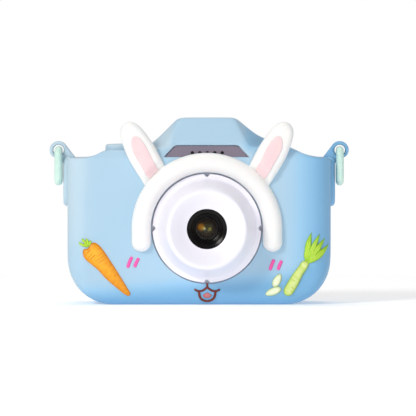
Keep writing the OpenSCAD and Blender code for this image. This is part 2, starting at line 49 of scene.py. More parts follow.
# the covered body: plan, side and front rounding, and the hump over the lens
cover = {
    "halfWidth": 48.9, "frontY": -9.0, "backY": 23.0, "creaseZ": 54.4,
    "bottomRadius": 17.0, "frontCorner": 7.5, "backCorner": 6.0, "footRadius": 5.0,
    "topEdge": 1.2, "frontRound": 0.8, "lean": 0.45, "wall": 1.95, "rimReach": 0.9,
    # how softly the deck's surfaces run into each other
    "bevelBlend": 2.0, "cutBlend": 1.6, "rearBlend": 2.5, "slopeBlend": 1.6,
    # the hump's cut corners: where they start across and up, where they end, and how they fall
    "bevelX": 14.2, "bevelZ": 60.9, "bevelFoot": 58.3, "bevelAcross": 1.191, "bevelBack": 0.826,
    # the short upright line inside that each side face closes onto
    "heartY": 7.75, "heartZ": 27, "heartRise": 18,
}
depth = cover["backY"] - cover["frontY"]
lean = math.atan(cover["lean"])  # angle of the hump's face, back from upright
lensCentre = {"x": 2.9, "z": 28.4}
root = 0.3  # how far a raised piece reaches into what it stands on
button = {"x": -28.4, "y": 3, "radius": 6.5, "foot": 56.7, "top": 59.45, "edge": 1.3, "round": 1.1,
          "dome": 0.15, "gap": 0.35}


def gridFaces(rows, cols, closeRows=False, closeCols=True):
    # the four corners of every cell of a rows by cols grid, joined round where it closes
    r, c = np.meshgrid(np.arange(rows if closeRows else rows - 1),
                       np.arange(cols if closeCols else cols - 1), indexing="ij")
    r2, c2 = (r + 1) % rows, (c + 1) % cols
    return np.stack([r * cols + c, r * cols + c2, r2 * cols + c2, r2 * cols + c], -1).reshape(-1, 4)


def asLists(faces):
    # cells as lists of corners, with a repeated corner left out
    return [[c for i, c in enumerate(row) if c != row[i - 1]] for row in faces.tolist()]


def joinParts(parts):
    # several (points, faces, material number) as one mesh, each part's corners shifted past those before
    points, faces, slots, start = [], [], [], 0
    for p, f, k in parts:
        points.append(np.asarray(p, float).reshape(-1, 3))
        faces += asLists(np.asarray(f) + start)
        slots += [k] * len(f)
        start += len(points[-1])
    return np.concatenate(points), faces, slots


def makePiece(name, points, faces, material, slot, replaces=(), body="camera", sharp=38, paintedShading=None,
              slots=None):
    # one mesh object at the origin, on its body; equal points are merged and the closed skin faces out.
    # An edge sharper than the angle stays a crease, and slots says which material each cell has
    mesh = bpy.data.meshes.new(name)
    mesh.from_pydata((np.asarray(points).reshape(-1, 3) * mm).tolist(), [],
                     asLists(faces) if isinstance(faces, np.ndarray) else faces)
    # the per-point painted shade and light goes to the finish as a mesh attribute
    if paintedShading is not None:
        mesh.attributes.new("paintedShading", "FLOAT", "POINT").data.foreach_set(
            "value", np.asarray(paintedShading, np.float32).reshape(-1))
    if slots is not None:
        mesh.polygons.foreach_set("material_index", np.asarray(slots, np.int32))
    bm = bmesh.new()
    bm.from_mesh(mesh)
    bmesh.ops.remove_doubles(bm, verts=bm.verts, dist=0.002 * mm)
    bmesh.ops.recalc_face_normals(bm, faces=bm.faces)
    if bm.calc_volume(signed=True) < 0:
        bmesh.ops.reverse_faces(bm, faces=bm.faces)
    bm.to_mesh(mesh)
    bm.free()
    mesh.shade_smooth()
    mesh.set_sharp_from_angle(angle=math.radians(sharp))
    piece = bpy.data.objects.new(name, mesh)
    scene.collection.objects.link(piece)
    for m in (material if isinstance(material, list) else [material]):
        mesh.materials.append(m)
    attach(piece, body)
    if replaces:
        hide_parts(*replaces)


def softCorners(points, steps=6, closed=False):
    # a line with each corner swapped for a short curve; a point's third number is how far from the
    # corner its curve starts
    p = np.asarray(points, float)
    out = []
    for i in range(len(p)):  # over the corners of a drawn profile, a dozen or so
        here, reach = p[i, :2], p[i, 2]
        if reach <= 0 or (not closed and i in (0, len(p) - 1)):
            out.append(here[None])
            continue
        before, after = p[i - 1, :2], p[(i + 1) % len(p), :2]
        a = here + (before - here) * reach / np.linalg.norm(before - here)
        b = here + (after - here) * reach / np.linalg.norm(after - here)
        t = np.linspace(0, 1, steps)[:, None]
        out.append((1 - t) ** 2 * a + 2 * t * (1 - t) * here + t ** 2 * b)
    return np.concatenate(out)


def smoothLine(points, steps=6, closed=False):
    # a smooth curve through the points, by the usual four-point cubic
    p = np.asarray(points, float)
    n = len(p)
    i = np.arange(n if closed else n - 1)
    pick = (lambda k: p[k % n]) if closed else (lambda k: p[np.clip(k, 0, n - 1)])
    a, b, c, d = (pick(i + k)[:, None] for k in (-1, 0, 1, 2))
    t = (np.arange(steps) / steps)[None, :, None]
    curve = 0.5 * (2 * b + (c - a) * t + (2 * a - 5 * b + 4 * c - d) * t ** 2
                   + (3 * b - a - 3 * c + d) * t ** 3)
    curve = curve.reshape(-1, p.shape[1])
    return curve if closed else np.concatenate([curve, p[-1:]])


def evenSteps(line, count, closed=False):
    # the same line with its points at equal distances along it
    p = np.concatenate([line, line[:1]]) if closed else line
    s = np.concatenate([[0], np.cumsum(np.linalg.norm(np.diff(p, axis=0), axis=1))])
    at = np.linspace(0, s[-1], count + 1)[:-1] if closed else np.linspace(0, s[-1], count)
    return np.stack([np.interp(at, s, p[:, k]) for k in range(p.shape[1])], -1)


def turnedSkin(profile, segments=192, closed=True):
    # a profile of radius and distance carried round a full turn; the result is (rows, segments, 3) as
    # radius times cosine, radius times sine, distance
    profile = np.asarray(profile, float)
    a = np.linspace(0, 2 * math.pi, segments, endpoint=False)[None, :]
    r, h = profile[:, :1], profile[:, 1:2]
    grid = np.stack([r * np.cos(a), r * np.sin(a), h + 0 * a], -1)
    return grid, gridFaces(len(profile), segments, closeRows=closed)


def domeLine(radius, count, top, fall):
    # profile of a domed top from its edge to the axis: the height falls by the square of the radius
    r = np.linspace(radius, 0, count)
    return np.column_stack([r, top - fall * r ** 2])


def cosSin(angle):
    # cosine and sine of an angle in degrees
    return math.cos(math.radians(angle)), math.sin(math.radians(angle))


def ontoFront(grid, x, z):
    # turned shape with its axis along -Y through (x, z); distance counts forward from the middle plane
    return np.stack([x + grid[..., 0], -grid[..., 2], z + grid[..., 1]], -1)


def ontoBack(grid, x, z):
    # the same along +Y, seen from behind
    return np.stack([x - grid[..., 0], grid[..., 2], z + grid[..., 1]], -1)


def ontoTop(grid, x, y):
    # turned shape with its axis upright through (x, y); distance is height
    return np.stack([x + grid[..., 0], y + grid[..., 1], grid[..., 2]], -1)


def outward(line):
    # unit normals of a closed line that runs anticlockwise
    d = np.roll(line, -1, 0) - np.roll(line, 1, 0)
    n = np.stack([d[:, 1], -d[:, 0]], -1)
    return n / np.linalg.norm(n, axis=1)[:, None]


def plateLayers(thick, backRound, frontRound, crown=0.0, steps=5):
    # rings of a plate from the middle of its back, round its edge, to the middle of its front:
    # each is (pulled in by, share of the way to the middle line, height)
    a = np.linspace(0, math.pi / 2, steps + 1)
    rings = [(backRound, s, 0.0) for s in np.linspace(1, 0, 7)[:-1]]
    rings += [(backRound * (1 - math.sin(t)), 0.0, backRound * (1 - math.cos(t))) for t in a]
    rings += [(frontRound * (1 - math.cos(t)), 0.0, thick - frontRound * (1 - math.sin(t))) for t in a]
    rings += [(frontRound, s, thick + crown * math.sin(s * math.pi / 2))
              for s in np.linspace(0, 1, 7)[1:]]
    return rings


def plateSkin(outline, spine, layers):
    # point = outline pulled in along its normal, then slid a share of the way to the middle line
    n = outward(outline)
    rings = []
    for inset, share, height in layers:
        p = outline - n * inset
        p = p + (spine - p) * share
        rings.append(np.column_stack([p, np.full(len(p), height)]))
    return np.stack(rings), gridFaces(len(rings), len(outline))


topPoints = [(-48.5, 54.4), (-44, 54.4), (-41, 54.6), (-38.8, 55.3), (-36.6, 56.4), (-34.6, 57.1),
             (-32, 57.4), (-24, 57.5), (-20.4, 58.2), (-17.2, 60.2), (-14.2, 62.8), (-11.5, 65.5),
             (-8.2, 68.6), (-6.1, 69.3), (-3.4, 69.5), (10, 69.5), (12.7, 69.3), (14.4, 68.5),
             (17.2, 66.2), (20.8, 63.4), (23.7, 61.8), (28, 60.2), (33.8, 58.2), (38.8, 55.9),
             (41.6, 55.0), (44.5, 54.5), (48.5, 54.4)]
topCurve = smoothLine(topPoints, 8)
backPoints = np.array([(11, 70.5), (13.4, 69.2), (15.4, 68), (17.4, 65.6), (19.4, 62), (21, 58.2),
                       (22.1, 54.8), (22.7, 52.2), (23, 49)])
backCurve = smoothLine(backPoints, 6)


def softMin(a, b, k):
    # the lower of two heights, with the valley between them rounded over k
    h = np.maximum(k - np.abs(a - b), 0) / k
    return np.minimum(a, b) - h * h * k / 4


def cornerDrop(distance, radius):
    # how far a round corner has fallen away, distance past its start
    d = np.clip(distance, 0, radius)
    return radius - np.sqrt(np.maximum(radius ** 2 - d ** 2, 0))


def frontEdge(x):
    # Y of the plan's front line: straight, then a quarter circle at each corner
    return cover["frontY"] + cornerDrop(np.abs(x) - cover["halfWidth"] + cover["frontCorner"],
                                        cover["frontCorner"])


def backEdge(x):
    # the same for the back line
    return cover["backY"] - cornerDrop(np.abs(x) - cover["halfWidth"] + cover["backCorner"],
                                       cover["backCorner"])


def footEdge(x):
    # Z of the foot line, which rises in a quarter circle at each lower corner
    return cornerDrop(np.abs(x) - cover["halfWidth"] + cover["bottomRadius"], cover["bottomRadius"])


def deckHeight(x, y):
    # lowest of the top line, the leaning hump face, the rounded rear and the hump's two cut corners
    fromFront = y - frontEdge(x)
    slope = cover["creaseZ"] + (y - cover["frontY"]) / cover["lean"]
    line = np.interp(x, topCurve[:, 0], topCurve[:, 1])
    flat = 1 - np.clip((line - cover["creaseZ"]) / 1.2, 0, 1)
    top = line - cornerDrop(np.abs(x) - cover["halfWidth"] + cover["topEdge"], cover["topEdge"])
    top = top - flat * cornerDrop(cover["frontRound"] - fromFront, cover["frontRound"])
    rear = np.interp(y + cover["backY"] - backEdge(x), backCurve[:, 0], backCurve[:, 1])
    edgeY = cover["frontY"] + (cover["bevelZ"] - cover["creaseZ"]) * cover["lean"]
    past = np.abs(x - lensCentre["x"]) - cover["bevelX"]
    cut = cover["bevelZ"] - cover["bevelAcross"] * past + cover["bevelBack"] * (y - edgeY)
    cut = -softMin(-cut, np.full_like(cut, -cover["bevelFoot"]), cover["bevelBlend"])
    soft = np.clip(fromFront * 1.2, 0.1, cover["slopeBlend"])  # crisp at the front edge, softer behind it
    return softMin(softMin(softMin(top, cut, cover["cutBlend"]), rear, cover["rearBlend"]), slope, soft)


def frontSurface(x, z):
    # Y of the cover's front at (x, z), round side and foot included
    low = footEdge(x) + cover["footRadius"] - z
    return frontEdge(x) + cornerDrop(low, cover["footRadius"])


def ontoCover(grid):
    # lays (x, z, height) points on the cover's front
    x, z, h = grid[..., 0], grid[..., 1], grid[..., 2]
    return np.stack([x, frontSurface(x, z) - h, z], -1)


def coverStations():
    # x of each slice: even over the middle, by angle round the side corners
    w, r = cover["halfWidth"], cover["frontCorner"]
    side = w - r + r * np.sin(np.linspace(0, math.pi / 2, 19)[1:])
    middle = np.linspace(-(w - r), w - r, 121)
    return np.concatenate([-side[::-1], middle, side])


def coverSkin():
    # slices across X; each is a closed loop: foot, round edge, front wall, deck, rear wall, round edge
    x = coverStations()[:, None]
    yF, yB, zB, r = frontEdge(x), backEdge(x), footEdge(x), cover["footRadius"]
    mid = (yF + yB) / 2
    a = np.linspace(0, math.pi / 2, 12)[None, 1:]
    t = np.linspace(0, 1, 11)[None, :]
    rise = np.concatenate([np.linspace(0, 0.993, 62)[1:], [0.997, 1.0]])[None, :]
    zFront, zBack = deckHeight(x, yF), deckHeight(x, yB)
    # deck steps are even along the hump's own outline, so that its steep face gets its share
    q = cover["frontY"] + depth * np.linspace(0, 1, 3000)
    section = np.column_stack([q, deckHeight(0 * q + lensCentre["x"], q)])
    even = evenSteps(section, 72)[1:-1, 0]
    share = np.concatenate([[0.004], (even - cover["frontY"]) / depth])[None, :]
    yDeck = yF + (yB - yF) * share
    loops = [
        (mid + (yF + r - mid) * t, zB + 0 * t, 0 * t),
        (yF + r - r * np.sin(a), zB + r - r * np.cos(a), 0 * a),
        (yF + 0 * rise, zB + r + (zFront - zB - r) * rise, rise),
        (yDeck, deckHeight(x + 0 * yDeck, yDeck), 1 + 0 * share),
        (yB + 0 * rise, zB + r + (zBack - zB - r) * rise[:, ::-1], rise[:, ::-1]),
        (yB - r + r * np.sin(math.pi / 2 - a), zB + r - r * np.cos(math.pi / 2 - a), 0 * a),
        (yB - r + (mid - yB + r) * t[:, 1:-1], zB + 0 * t[:, 1:-1], 0 * t[:, 1:-1]),
    ]
    y = np.concatenate([p[0] for p in loops], 1)
    z = np.concatenate([p[1] for p in loops], 1)
    level = np.concatenate([p[2] for p in loops], 1)[0]
    grid = np.stack([x + 0 * y, y, z], -1)
    # each side face is closed by rings that shrink to a short upright line
    caps = []
    for end in (grid[0], grid[-1]):
        heart = np.stack([end[:, 0], 0 * end[:, 1] + cover["heartY"],
                          cover["heartZ"] + cover["heartRise"] * level], -1)
        k = np.linspace(0, 1, 15)[1:, None, None]
        caps.append(end[None] + (heart - end)[None] * k)
    return np.concatenate([caps[0][::-1], grid, caps[1]])


def nearestOnLine(points, line):
    # signed distance to a closed line, above 0 outside it, and the nearest place on it
    a, b = line, np.roll(line, -1, 0)
    ab = b - a
    t = np.clip(((points[:, None] - a) * ab).sum(-1) / (ab ** 2).sum(-1), 0, 1)
    near = a + t[..., None] * ab
    gap = np.linalg.norm(points[:, None] - near, axis=-1)
    best = gap.argmin(1)
    rows = np.arange(len(points))
    above = (a[:, 1] > points[:, None, 1]) != (b[:, 1] > points[:, None, 1])
    crossX = a[:, 0] + (points[:, None, 1] - a[:, 1]) * ab[:, 0] / np.where(ab[:, 1] == 0, 1e-9, ab[:, 1])
    inside = (above & (points[:, None, 0] < crossX)).sum(1) % 2 == 1
    return np.where(inside, -1, 1) * gap[rows, best], near[rows, best]


def circleLine(x, z, r):
    # points at equal angles round a circle
    a = np.linspace(0, 2 * math.pi, 120, endpoint=False)
    return np.column_stack([x + r * np.cos(a), z + r * np.sin(a)])


def roundedBox(x0, x1, z0, z1, r, steps=10):
    # four quarter circles, anticlockwise from the lower right
    a = np.linspace(0, math.pi / 2, steps)
    corners = [(x1 - r, z0 + r, -math.pi / 2), (x1 - r, z1 - r, 0), (x0 + r, z1 - r, math.pi / 2),
               (x0 + r, z0 + r, math.pi)]
    return np.concatenate([np.column_stack([cx + r * np.cos(a + s), cz + r * np.sin(a + s)])
                           for cx, cz, s in corners])


def grilleOutline(grow):
    # the speaker plate's outline on the hump's face: across, and up the slope
    a, b = np.radians(np.linspace(42, 90, 9)), np.radians(np.linspace(90, 138, 9))
    low, high = 0.6 - grow, 5.2 + grow
    return np.concatenate([
        [[-15.9 - grow, low], [15.6 + grow, low]],
        np.column_stack([10.4 + grow / 2 + 2.4 * np.cos(a), high - 2.4 + 2.4 * np.sin(a)]),
        np.column_stack([-10.7 - grow / 2 + 2.4 * np.cos(b), high - 2.4 + 2.4 * np.sin(b)])]
    ) + (lensCentre["x"], 0)


# openings in the cover: which two numbers of a point are compared, where, the outline, the rim's roll-off
coverOpenings = {
    "lens": {"axes": (0, 2), "where": lambda p: p[:, 1] < -8, "roll": 0.12,
             "line": circleLine(lensCentre["x"], lensCentre["z"], 20.6)},
    "grille": {"axes": (0, 2), "where": lambda p: (p[:, 1] < 0) & (p[:, 2] > 52), "roll": 0.3,
               "line": grilleOutline(0.15) * (1, math.cos(lean)) + (0, cover["creaseZ"])},
    "shutter": {"axes": (0, 1), "where": lambda p: p[:, 2] > 54, "roll": 0.45,
                "line": circleLine(button["x"], button["y"], button["radius"] + button["gap"])},
    "rear": {"axes": (0, 2), "where": lambda p: p[:, 1] > 20, "roll": 0.5,
             "line": roundedBox(-43.4, 43.4, 5.2, 49.4, 9)},
    "selfie": {"axes": (0, 2), "where": lambda p: (p[:, 1] > 15) & (p[:, 2] > 51), "roll": 0.35,
               "line": circleLine(lensCentre["x"], 58, 4.9)},
    "service": {"axes": (1, 2), "where": lambda p: p[:, 0] > 44, "roll": 0.4,
                "line": roundedBox(8.9, 16.4, 13, 38.6, 2.5)},
}


def vertexNormals(points, faces):
    # each point's normal: the sum of the cross products of its cells' diagonals
    a, b, c, d = (points[faces[:, k]] for k in range(4))
    cell = np.cross(c - a, d - b)
    n = np.zeros_like(points)
    for k in range(4):
        np.add.at(n, faces[:, k], cell)
    return n / np.maximum(np.linalg.norm(n, axis=1, keepdims=True), 1e-12)


def mergeEqual(points, faces, grid=0.002):
    # equal points become one; a cell that has shrunk to a line is dropped
    _, first, back = np.unique(np.round(points / grid).astype(np.int64), axis=0, return_index=True,
                               return_inverse=True)
    faces = back.reshape(-1)[faces]
    kinds = 1 + (np.diff(np.sort(faces, axis=1), axis=1) > 0).sum(1)
    return points[first], faces[kinds > 2]


def openCover(grid):
    # along each grid edge that crosses an opening's outline the nearer end is drawn onto the outline, so
    # that the rim follows it; cells inside are dropped. The rim is rolled in: the surface sinks by the
    # roll-off times the square of the share of the rim's reach that is left
    rows, cols = grid.shape[:2]
    p = grid.reshape(-1, 3).copy()
    drop = np.zeros(len(p), bool)
    sink = np.zeros(len(p))
    onLines = []
    for o in coverOpenings.values():
        at = np.flatnonzero(o["where"](p))
        flat = p[at][:, o["axes"]]
        close = np.all((flat > o["line"].min(0) - 2) & (flat < o["line"].max(0) + 2), axis=1)
        at, flat = at[close], flat[close]
        d, near = nearestOnLine(flat, o["line"])
        whole = np.full(len(p), np.nan)
        whole[at] = d
        whole = whole.reshape(rows, cols)
        snap = np.zeros((rows, cols), bool)
        for axis, step in ((0, 1), (0, -1), (1, 1), (1, -1)):
            other = np.roll(whole, step, axis)
            snap |= (whole * other < 0) & (np.abs(whole) <= np.abs(other))
        snap = snap.reshape(-1)[at]
        p[np.ix_(at, o["axes"])] = np.where(snap[:, None], near, flat)
        d = np.where(snap, 0, d)
        drop[at[d < 0]] = True
        left = np.clip(1 - d / cover["rimReach"], 0, 1)
        sink[at] = np.maximum(sink[at], np.where(d >= 0, o["roll"] * left ** 2, 0))
        onLines.append((at[snap], o))
    faces = gridFaces(rows, cols)
    lost = drop[faces]
    corner = lost.sum(1) == 1  # one corner inside: the other three stay as a triangle
    cut = faces[corner]
    k = lost[corner].argmax(1)[:, None]
    three = np.take_along_axis(cut, (k + np.array([[1, 2, 3, 3]])) % 4, 1)
    faces = np.concatenate([faces[lost.sum(1) == 0], three])
    for at, o in onLines:  # a cell with every corner on an outline may still lie inside it
        mark = np.zeros(len(p), bool)
        mark[at] = True
        all4 = np.flatnonzero(mark[faces].all(1))
        if len(all4):
            d, _ = nearestOnLine(p[faces[all4]].mean(1)[:, o["axes"]], o["line"])
            faces = np.delete(faces, all4[d < -0.02], axis=0)
    used, faces = np.unique(faces, return_inverse=True)
    p, sink = p[used], sink[used]
    faces = faces.reshape(-1, 4)
    n = vertexNormals(p, faces)
    front = (p[:, 1] < cover["frontY"] + 0.01) & (np.abs(p[:, 2] - lensCentre["z"]) < 10)
    if n[front, 1].mean() > 0:  # the front wall has to face forwards
        faces = faces[:, ::-1]
        n = -n
    return mergeEqual(p - n * sink[:, None], faces)


def thicken(points, faces, wall):
    # a second skin, the wall's thickness inside the first, and a band that joins them along every rim
    inner = points - vertexNormals(points, faces) * wall
    edges = np.concatenate([faces[:, [k, (k + 1) % 4]] for k in range(4)])
    edges = edges[edges[:, 0] != edges[:, 1]]
    count = len(points)
    forward = edges[:, 0] * count + edges[:, 1]
    rim = edges[~np.isin(forward, edges[:, 1] * count + edges[:, 0])]
    band = np.stack([rim[:, 1], rim[:, 0], rim[:, 0] + count, rim[:, 1] + count], -1)
    return np.concatenate([points, inner]), np.concatenate([faces, faces[:, ::-1] + count, band])


def tone(code):
    # an sRGB hex colour as linear light
    c = np.array([int(code[i:i + 2], 16) for i in (1, 3, 5)]) / 255
    return (*np.where(c <= 0.04045, c / 12.92, ((c + 0.055) / 1.055) ** 2.4).tolist(), 1.0)


def addNode(tree, kind, settings=None, links=None):
    # one node with its settings (properties or unlinked sockets) and its links (socket: output)
    node = tree.nodes.new(kind)
    for key, value in (settings or {}).items():
        if isinstance(key, str) and hasattr(node, key):
            setattr(node, key, value)
        else:
            node.inputs[key].default_value = value
    for key, output in (links or {}).items():
        tree.links.new(output, node.inputs[key])
    return node


def perMm(size):
    # pattern scale for a spacing in millimetres, on coordinates in metres
    return 1000 / size


def newMaterial(name):
    # an empty material, its tree and the piece's own coordinates
    m = bpy.data.materials.new(name)
    m.use_nodes = True
    m.node_tree.nodes.clear()
    return m, m.node_tree, addNode(m.node_tree, "ShaderNodeTexCoord").outputs["Object"]


def surfaced(m, settings, links):
    # the material with its shader and output
    skin = addNode(m.node_tree, "ShaderNodeBsdfPrincipled", settings, links)
    addNode(m.node_tree, "ShaderNodeOutputMaterial", {}, {"Surface": skin.outputs[0]})
    return m


def mouldGrain(tree, place, size, rough, strength, depth):
    # the mould's fine grain, size mm apart: roughness between two values, and a bump of depth mm
    fine = addNode(tree, "ShaderNodeTexNoise", {"Scale": perMm(size), "Detail": 2.0}, {"Vector": place})
    gloss = addNode(tree, "ShaderNodeMapRange", {3: rough[0], 4: rough[1]}, {0: fine.outputs["Fac"]})
    bump = addNode(tree, "ShaderNodeBump", {"Strength": strength, "Distance": depth * mm},
                   {"Height": fine.outputs["Fac"]})
    return {"Roughness": gloss.outputs[0], "Normal": bump.outputs["Normal"]}


def setStops(ramp, first, last, between):
    # the colours of a ramp from its first stop to its last: each is a place and its hex colour
    stops = ramp.color_ramp.elements
    for stop, (at, code) in ((stops[0], first), (stops[1], last)):
        stop.position, stop.color = at, tone(code)
    for at, code in between:
        stop = stops.new(at)
        stop.color = tone(code)
    return ramp.outputs[0]


def driftingTone(tree, place, light, deep, size, detail=2.0):
    # two close tones that drift into each other over size mm
    drift = addNode(tree, "ShaderNodeTexNoise", {"Scale": perMm(size), "Detail": detail},
                    {"Vector": place})
    return addNode(tree, "ShaderNodeMix", {"data_type": "RGBA", 6: tone(light), 7: tone(deep)},
                   {0: drift.outputs["Fac"]}).outputs[2]


def mouldedFinish(name, light, deep, rough, ior=1.46, grain=0.45, depth=0.05, patch=14.0, soft=0.0,
                  softColour=(1.0, 0.6, 0.5), coat=0.0, roughVary=0.06, metallic=0.0, level=0.5):
    # moulded rubber or plastic: two close tones drift over patch mm, and the mould's grain shows as a
    # slight unevenness of height and gloss
    m, tree, place = newMaterial(name)
    colour = driftingTone(tree, place, light, deep, patch, 3.0)
    grained = mouldGrain(tree, place, grain, (rough - roughVary, rough + roughVary), 0.35, depth)
    return surfaced(m, {"IOR": ior, "Specular IOR Level": level, "Subsurface Weight": soft,
                        "Subsurface Radius": softColour, "Subsurface Scale": 2 * mm, "Coat Weight": coat,
                        "Coat Roughness": 0.15, "Metallic": metallic},
                    {"Base Color": colour, **grained})


def coverFinish():
    # pastel blue silicone with a satin skin: the blue runs from pale to full with the painted shade and
    # light held in the per-point attribute, deeper where less light falls and paler where more falls, a
    # slow cloud shifts it a little, and the mould leaves a faint fine grain
    m, tree, place = newMaterial("mouldedSiliconePastelBlue")
    paintedShading = addNode(tree, "ShaderNodeAttribute", {"attribute_name": "paintedShading"}).outputs["Fac"]
    cloud = addNode(tree, "ShaderNodeTexNoise", {"Scale": perMm(26), "Detail": 2.0}, {"Vector": place})
    mixed = addNode(tree, "ShaderNodeMath", {"operation": "MULTIPLY_ADD", 1: 0.12},
                    {0: cloud.outputs["Fac"], 2: paintedShading})
    ramp = addNode(tree, "ShaderNodeValToRGB", {}, {0: mixed.outputs[0]})
    blue = setStops(ramp, (0.0, "#c4d7e2"), (1.0, "#79b0d8"), ((0.16, "#afcde1"), (0.55, "#99c6e5")))
    return surfaced(m, {"IOR": 1.41, "Subsurface Weight": 0.1, "Subsurface Radius": (0.6, 0.9, 1.0),
                        "Subsurface Scale": 2 * mm, "Sheen Weight": 0.12, "Sheen Roughness": 0.5},
                    {"Base Color": blue, **mouldGrain(tree, place, 0.5, (0.44, 0.58), 0.3, 0.03)})


def lensFinish():
    # coated optical glass: dark, with painted reflections of the inner elements in the coating's gold,
    # amber and olive as rings about the axis, and brighter painted glints, a gold pool and a pale spot to
    # one side, all made to glow by emission
    m, tree, place = newMaterial("coatedGlassPaintedReflections")
    flat = addNode(tree, "ShaderNodeVectorMath", {"operation": "MULTIPLY", 1: (1, 0, 1)}, {0: place})

    def near(x, z, full, gone):
        # 1 within full mm of a point on the glass, falling smoothly to 0 at gone mm
        at = ((lensCentre["x"] + x) * mm, 0, (lensCentre["z"] + z) * mm)
        gap = addNode(tree, "ShaderNodeVectorMath", {"operation": "DISTANCE", 1: at},
                      {0: flat.outputs[0]})
        return addNode(tree, "ShaderNodeMapRange",
                       {"interpolation_type": "SMOOTHSTEP", 1: full * mm, 2: gone * mm, 3: 1.0, 4: 0.0},
                       {0: gap.outputs["Value"]}).outputs[0]

    axis = (lensCentre["x"] * mm, 0, lensCentre["z"] * mm)
    radius = addNode(tree, "ShaderNodeVectorMath", {"operation": "DISTANCE", 1: axis},
                     {0: flat.outputs[0]})
    share = addNode(tree, "ShaderNodeMapRange", {2: 4.2 * mm}, {0: radius.outputs["Value"]})
    # painted reflections: rings of colour out from the axis
    rings = addNode(tree, "ShaderNodeValToRGB", {}, {0: share.outputs[0]})
    colour = setStops(rings, (0.0, "#3c3118"), (1.0, "#0f0b0a"),
                      ((0.12, "#5c5a3c"), (0.2, "#2a2416"), (0.34, "#4e4a36"), (0.44, "#2b2314"),
                       (0.62, "#34260f"), (0.74, "#191310"), (0.86, "#241c14")))
    # painted glints: each colour, its place across and up from the axis, and the radii where it is full and
    # where it is gone
    paintedGlints = (("#b07420", -2.2, 0.5, 0.3, 1.9), ("#d0a83c", -1.3, 0.1, 0.15, 1.0),
             ("#9a9632", 1.1, -0.2, 0.15, 0.9), ("#d4e8c8", -0.85, -0.1, 0.1, 0.55),
             ("#8a8650", 0.6, -0.7, 0.05, 0.5))
    for code, x, z, full, gone in paintedGlints:
        colour = addNode(tree, "ShaderNodeMix", {"data_type": "RGBA", 7: tone(code)},
                         {0: near(x, z, full, gone), 6: colour}).outputs[2]
    # the painted reflections and glints also glow, by emission
    return surfaced(m, {"IOR": 1.52, "Roughness": 0.05, "Specular IOR Level": 0.12,
                        "Emission Strength": 0.65}, {"Base Color": colour, "Emission Color": colour})


def pictureFinish(name, edge, body, crown, streak=1.2):
    # moulded silicone of a raised picture with painted shade and highlight: the colour is deeper along its
    # edges and in its grooves as painted shade, and lighter on its crown as a painted highlight, from the
    # attribute that carries this painted light, and is broken up by soft mottling
    m, tree, place = newMaterial(name)
    paintedShading = addNode(tree, "ShaderNodeAttribute", {"attribute_name": "paintedShading"}).outputs["Fac"]
    mottle = addNode(tree, "ShaderNodeTexNoise", {"Scale": perMm(streak), "Detail": 3.0},
                     {"Vector": place})
    shift = addNode(tree, "ShaderNodeMath", {"operation": "MULTIPLY_ADD", 1: 0.5, 2: -0.25},
                    {0: mottle.outputs["Fac"]})
    level = addNode(tree, "ShaderNodeMath", {"operation": "ADD"}, {0: paintedShading, 1: shift.outputs[0]})
    ramp = addNode(tree, "ShaderNodeValToRGB", {}, {0: level.outputs[0]})
    colour = setStops(ramp, (0.3, edge), (1.0, crown), [(0.72, body)])
    return surfaced(m, {"IOR": 1.41, "Subsurface Weight": 0.08, "Subsurface Scale": 1 * mm},
                    {"Base Color": colour, **mouldGrain(tree, place, 0.4, (0.34, 0.48), 0.4, 0.05)})


def clearFinish(name, colour, alpha):
    # a thin coated pane: most light goes straight through, and its polish still catches the studio's
    # lights; the share that it holds back is uneven by the faintest amount
    m, tree, place = newMaterial(name)
    wave = addNode(tree, "ShaderNodeTexNoise", {"Scale": perMm(3.0), "Detail": 1.0}, {"Vector": place})
    held = addNode(tree, "ShaderNodeMapRange", {3: alpha - 0.02, 4: alpha + 0.02},
                   {0: wave.outputs["Fac"]})
    return surfaced(m, {"IOR": 1.5, "Roughness": 0.02, "Base Color": tone(colour)},
                    {"Alpha": held.outputs[0]})


def screenFinish():
    # clear plate printed black behind, with the switched-off display showing a shade lighter inside a
    # border: a point is in the display where both its distances from the middle are under the half sizes
    m, tree, place = newMaterial("printedScreenPlate")
    axes = addNode(tree, "ShaderNodeSeparateXYZ", {}, {0: place}).outputs
    inside = []
    for axis, middle, half in (("X", 11, 20.4), ("Z", 28.5, 15.3)):
        off = addNode(tree, "ShaderNodeMath", {"operation": "SUBTRACT", 1: middle * mm}, {0: axes[axis]})
        size = addNode(tree, "ShaderNodeMath", {"operation": "ABSOLUTE"}, {0: off.outputs[0]})
        inside.append(addNode(tree, "ShaderNodeMapRange", {1: half * mm, 2: (half + 0.15) * mm, 3: 1.0,
                                                           4: 0.0}, {0: size.outputs[0]}).outputs[0])
    both = addNode(tree, "ShaderNodeMath", {"operation": "MULTIPLY"}, {0: inside[0], 1: inside[1]})
    panel = driftingTone(tree, place, "#22252c", "#2b2f3a", 18)
    colour = addNode(tree, "ShaderNodeMix", {"data_type": "RGBA", 6: tone("#0c0c0e")},
                     {0: both.outputs[0], 7: panel})
    return surfaced(m, {"IOR": 1.49, "Roughness": 0.08, "Coat Weight": 0.6},
                    {"Base Color": colour.outputs[2]})


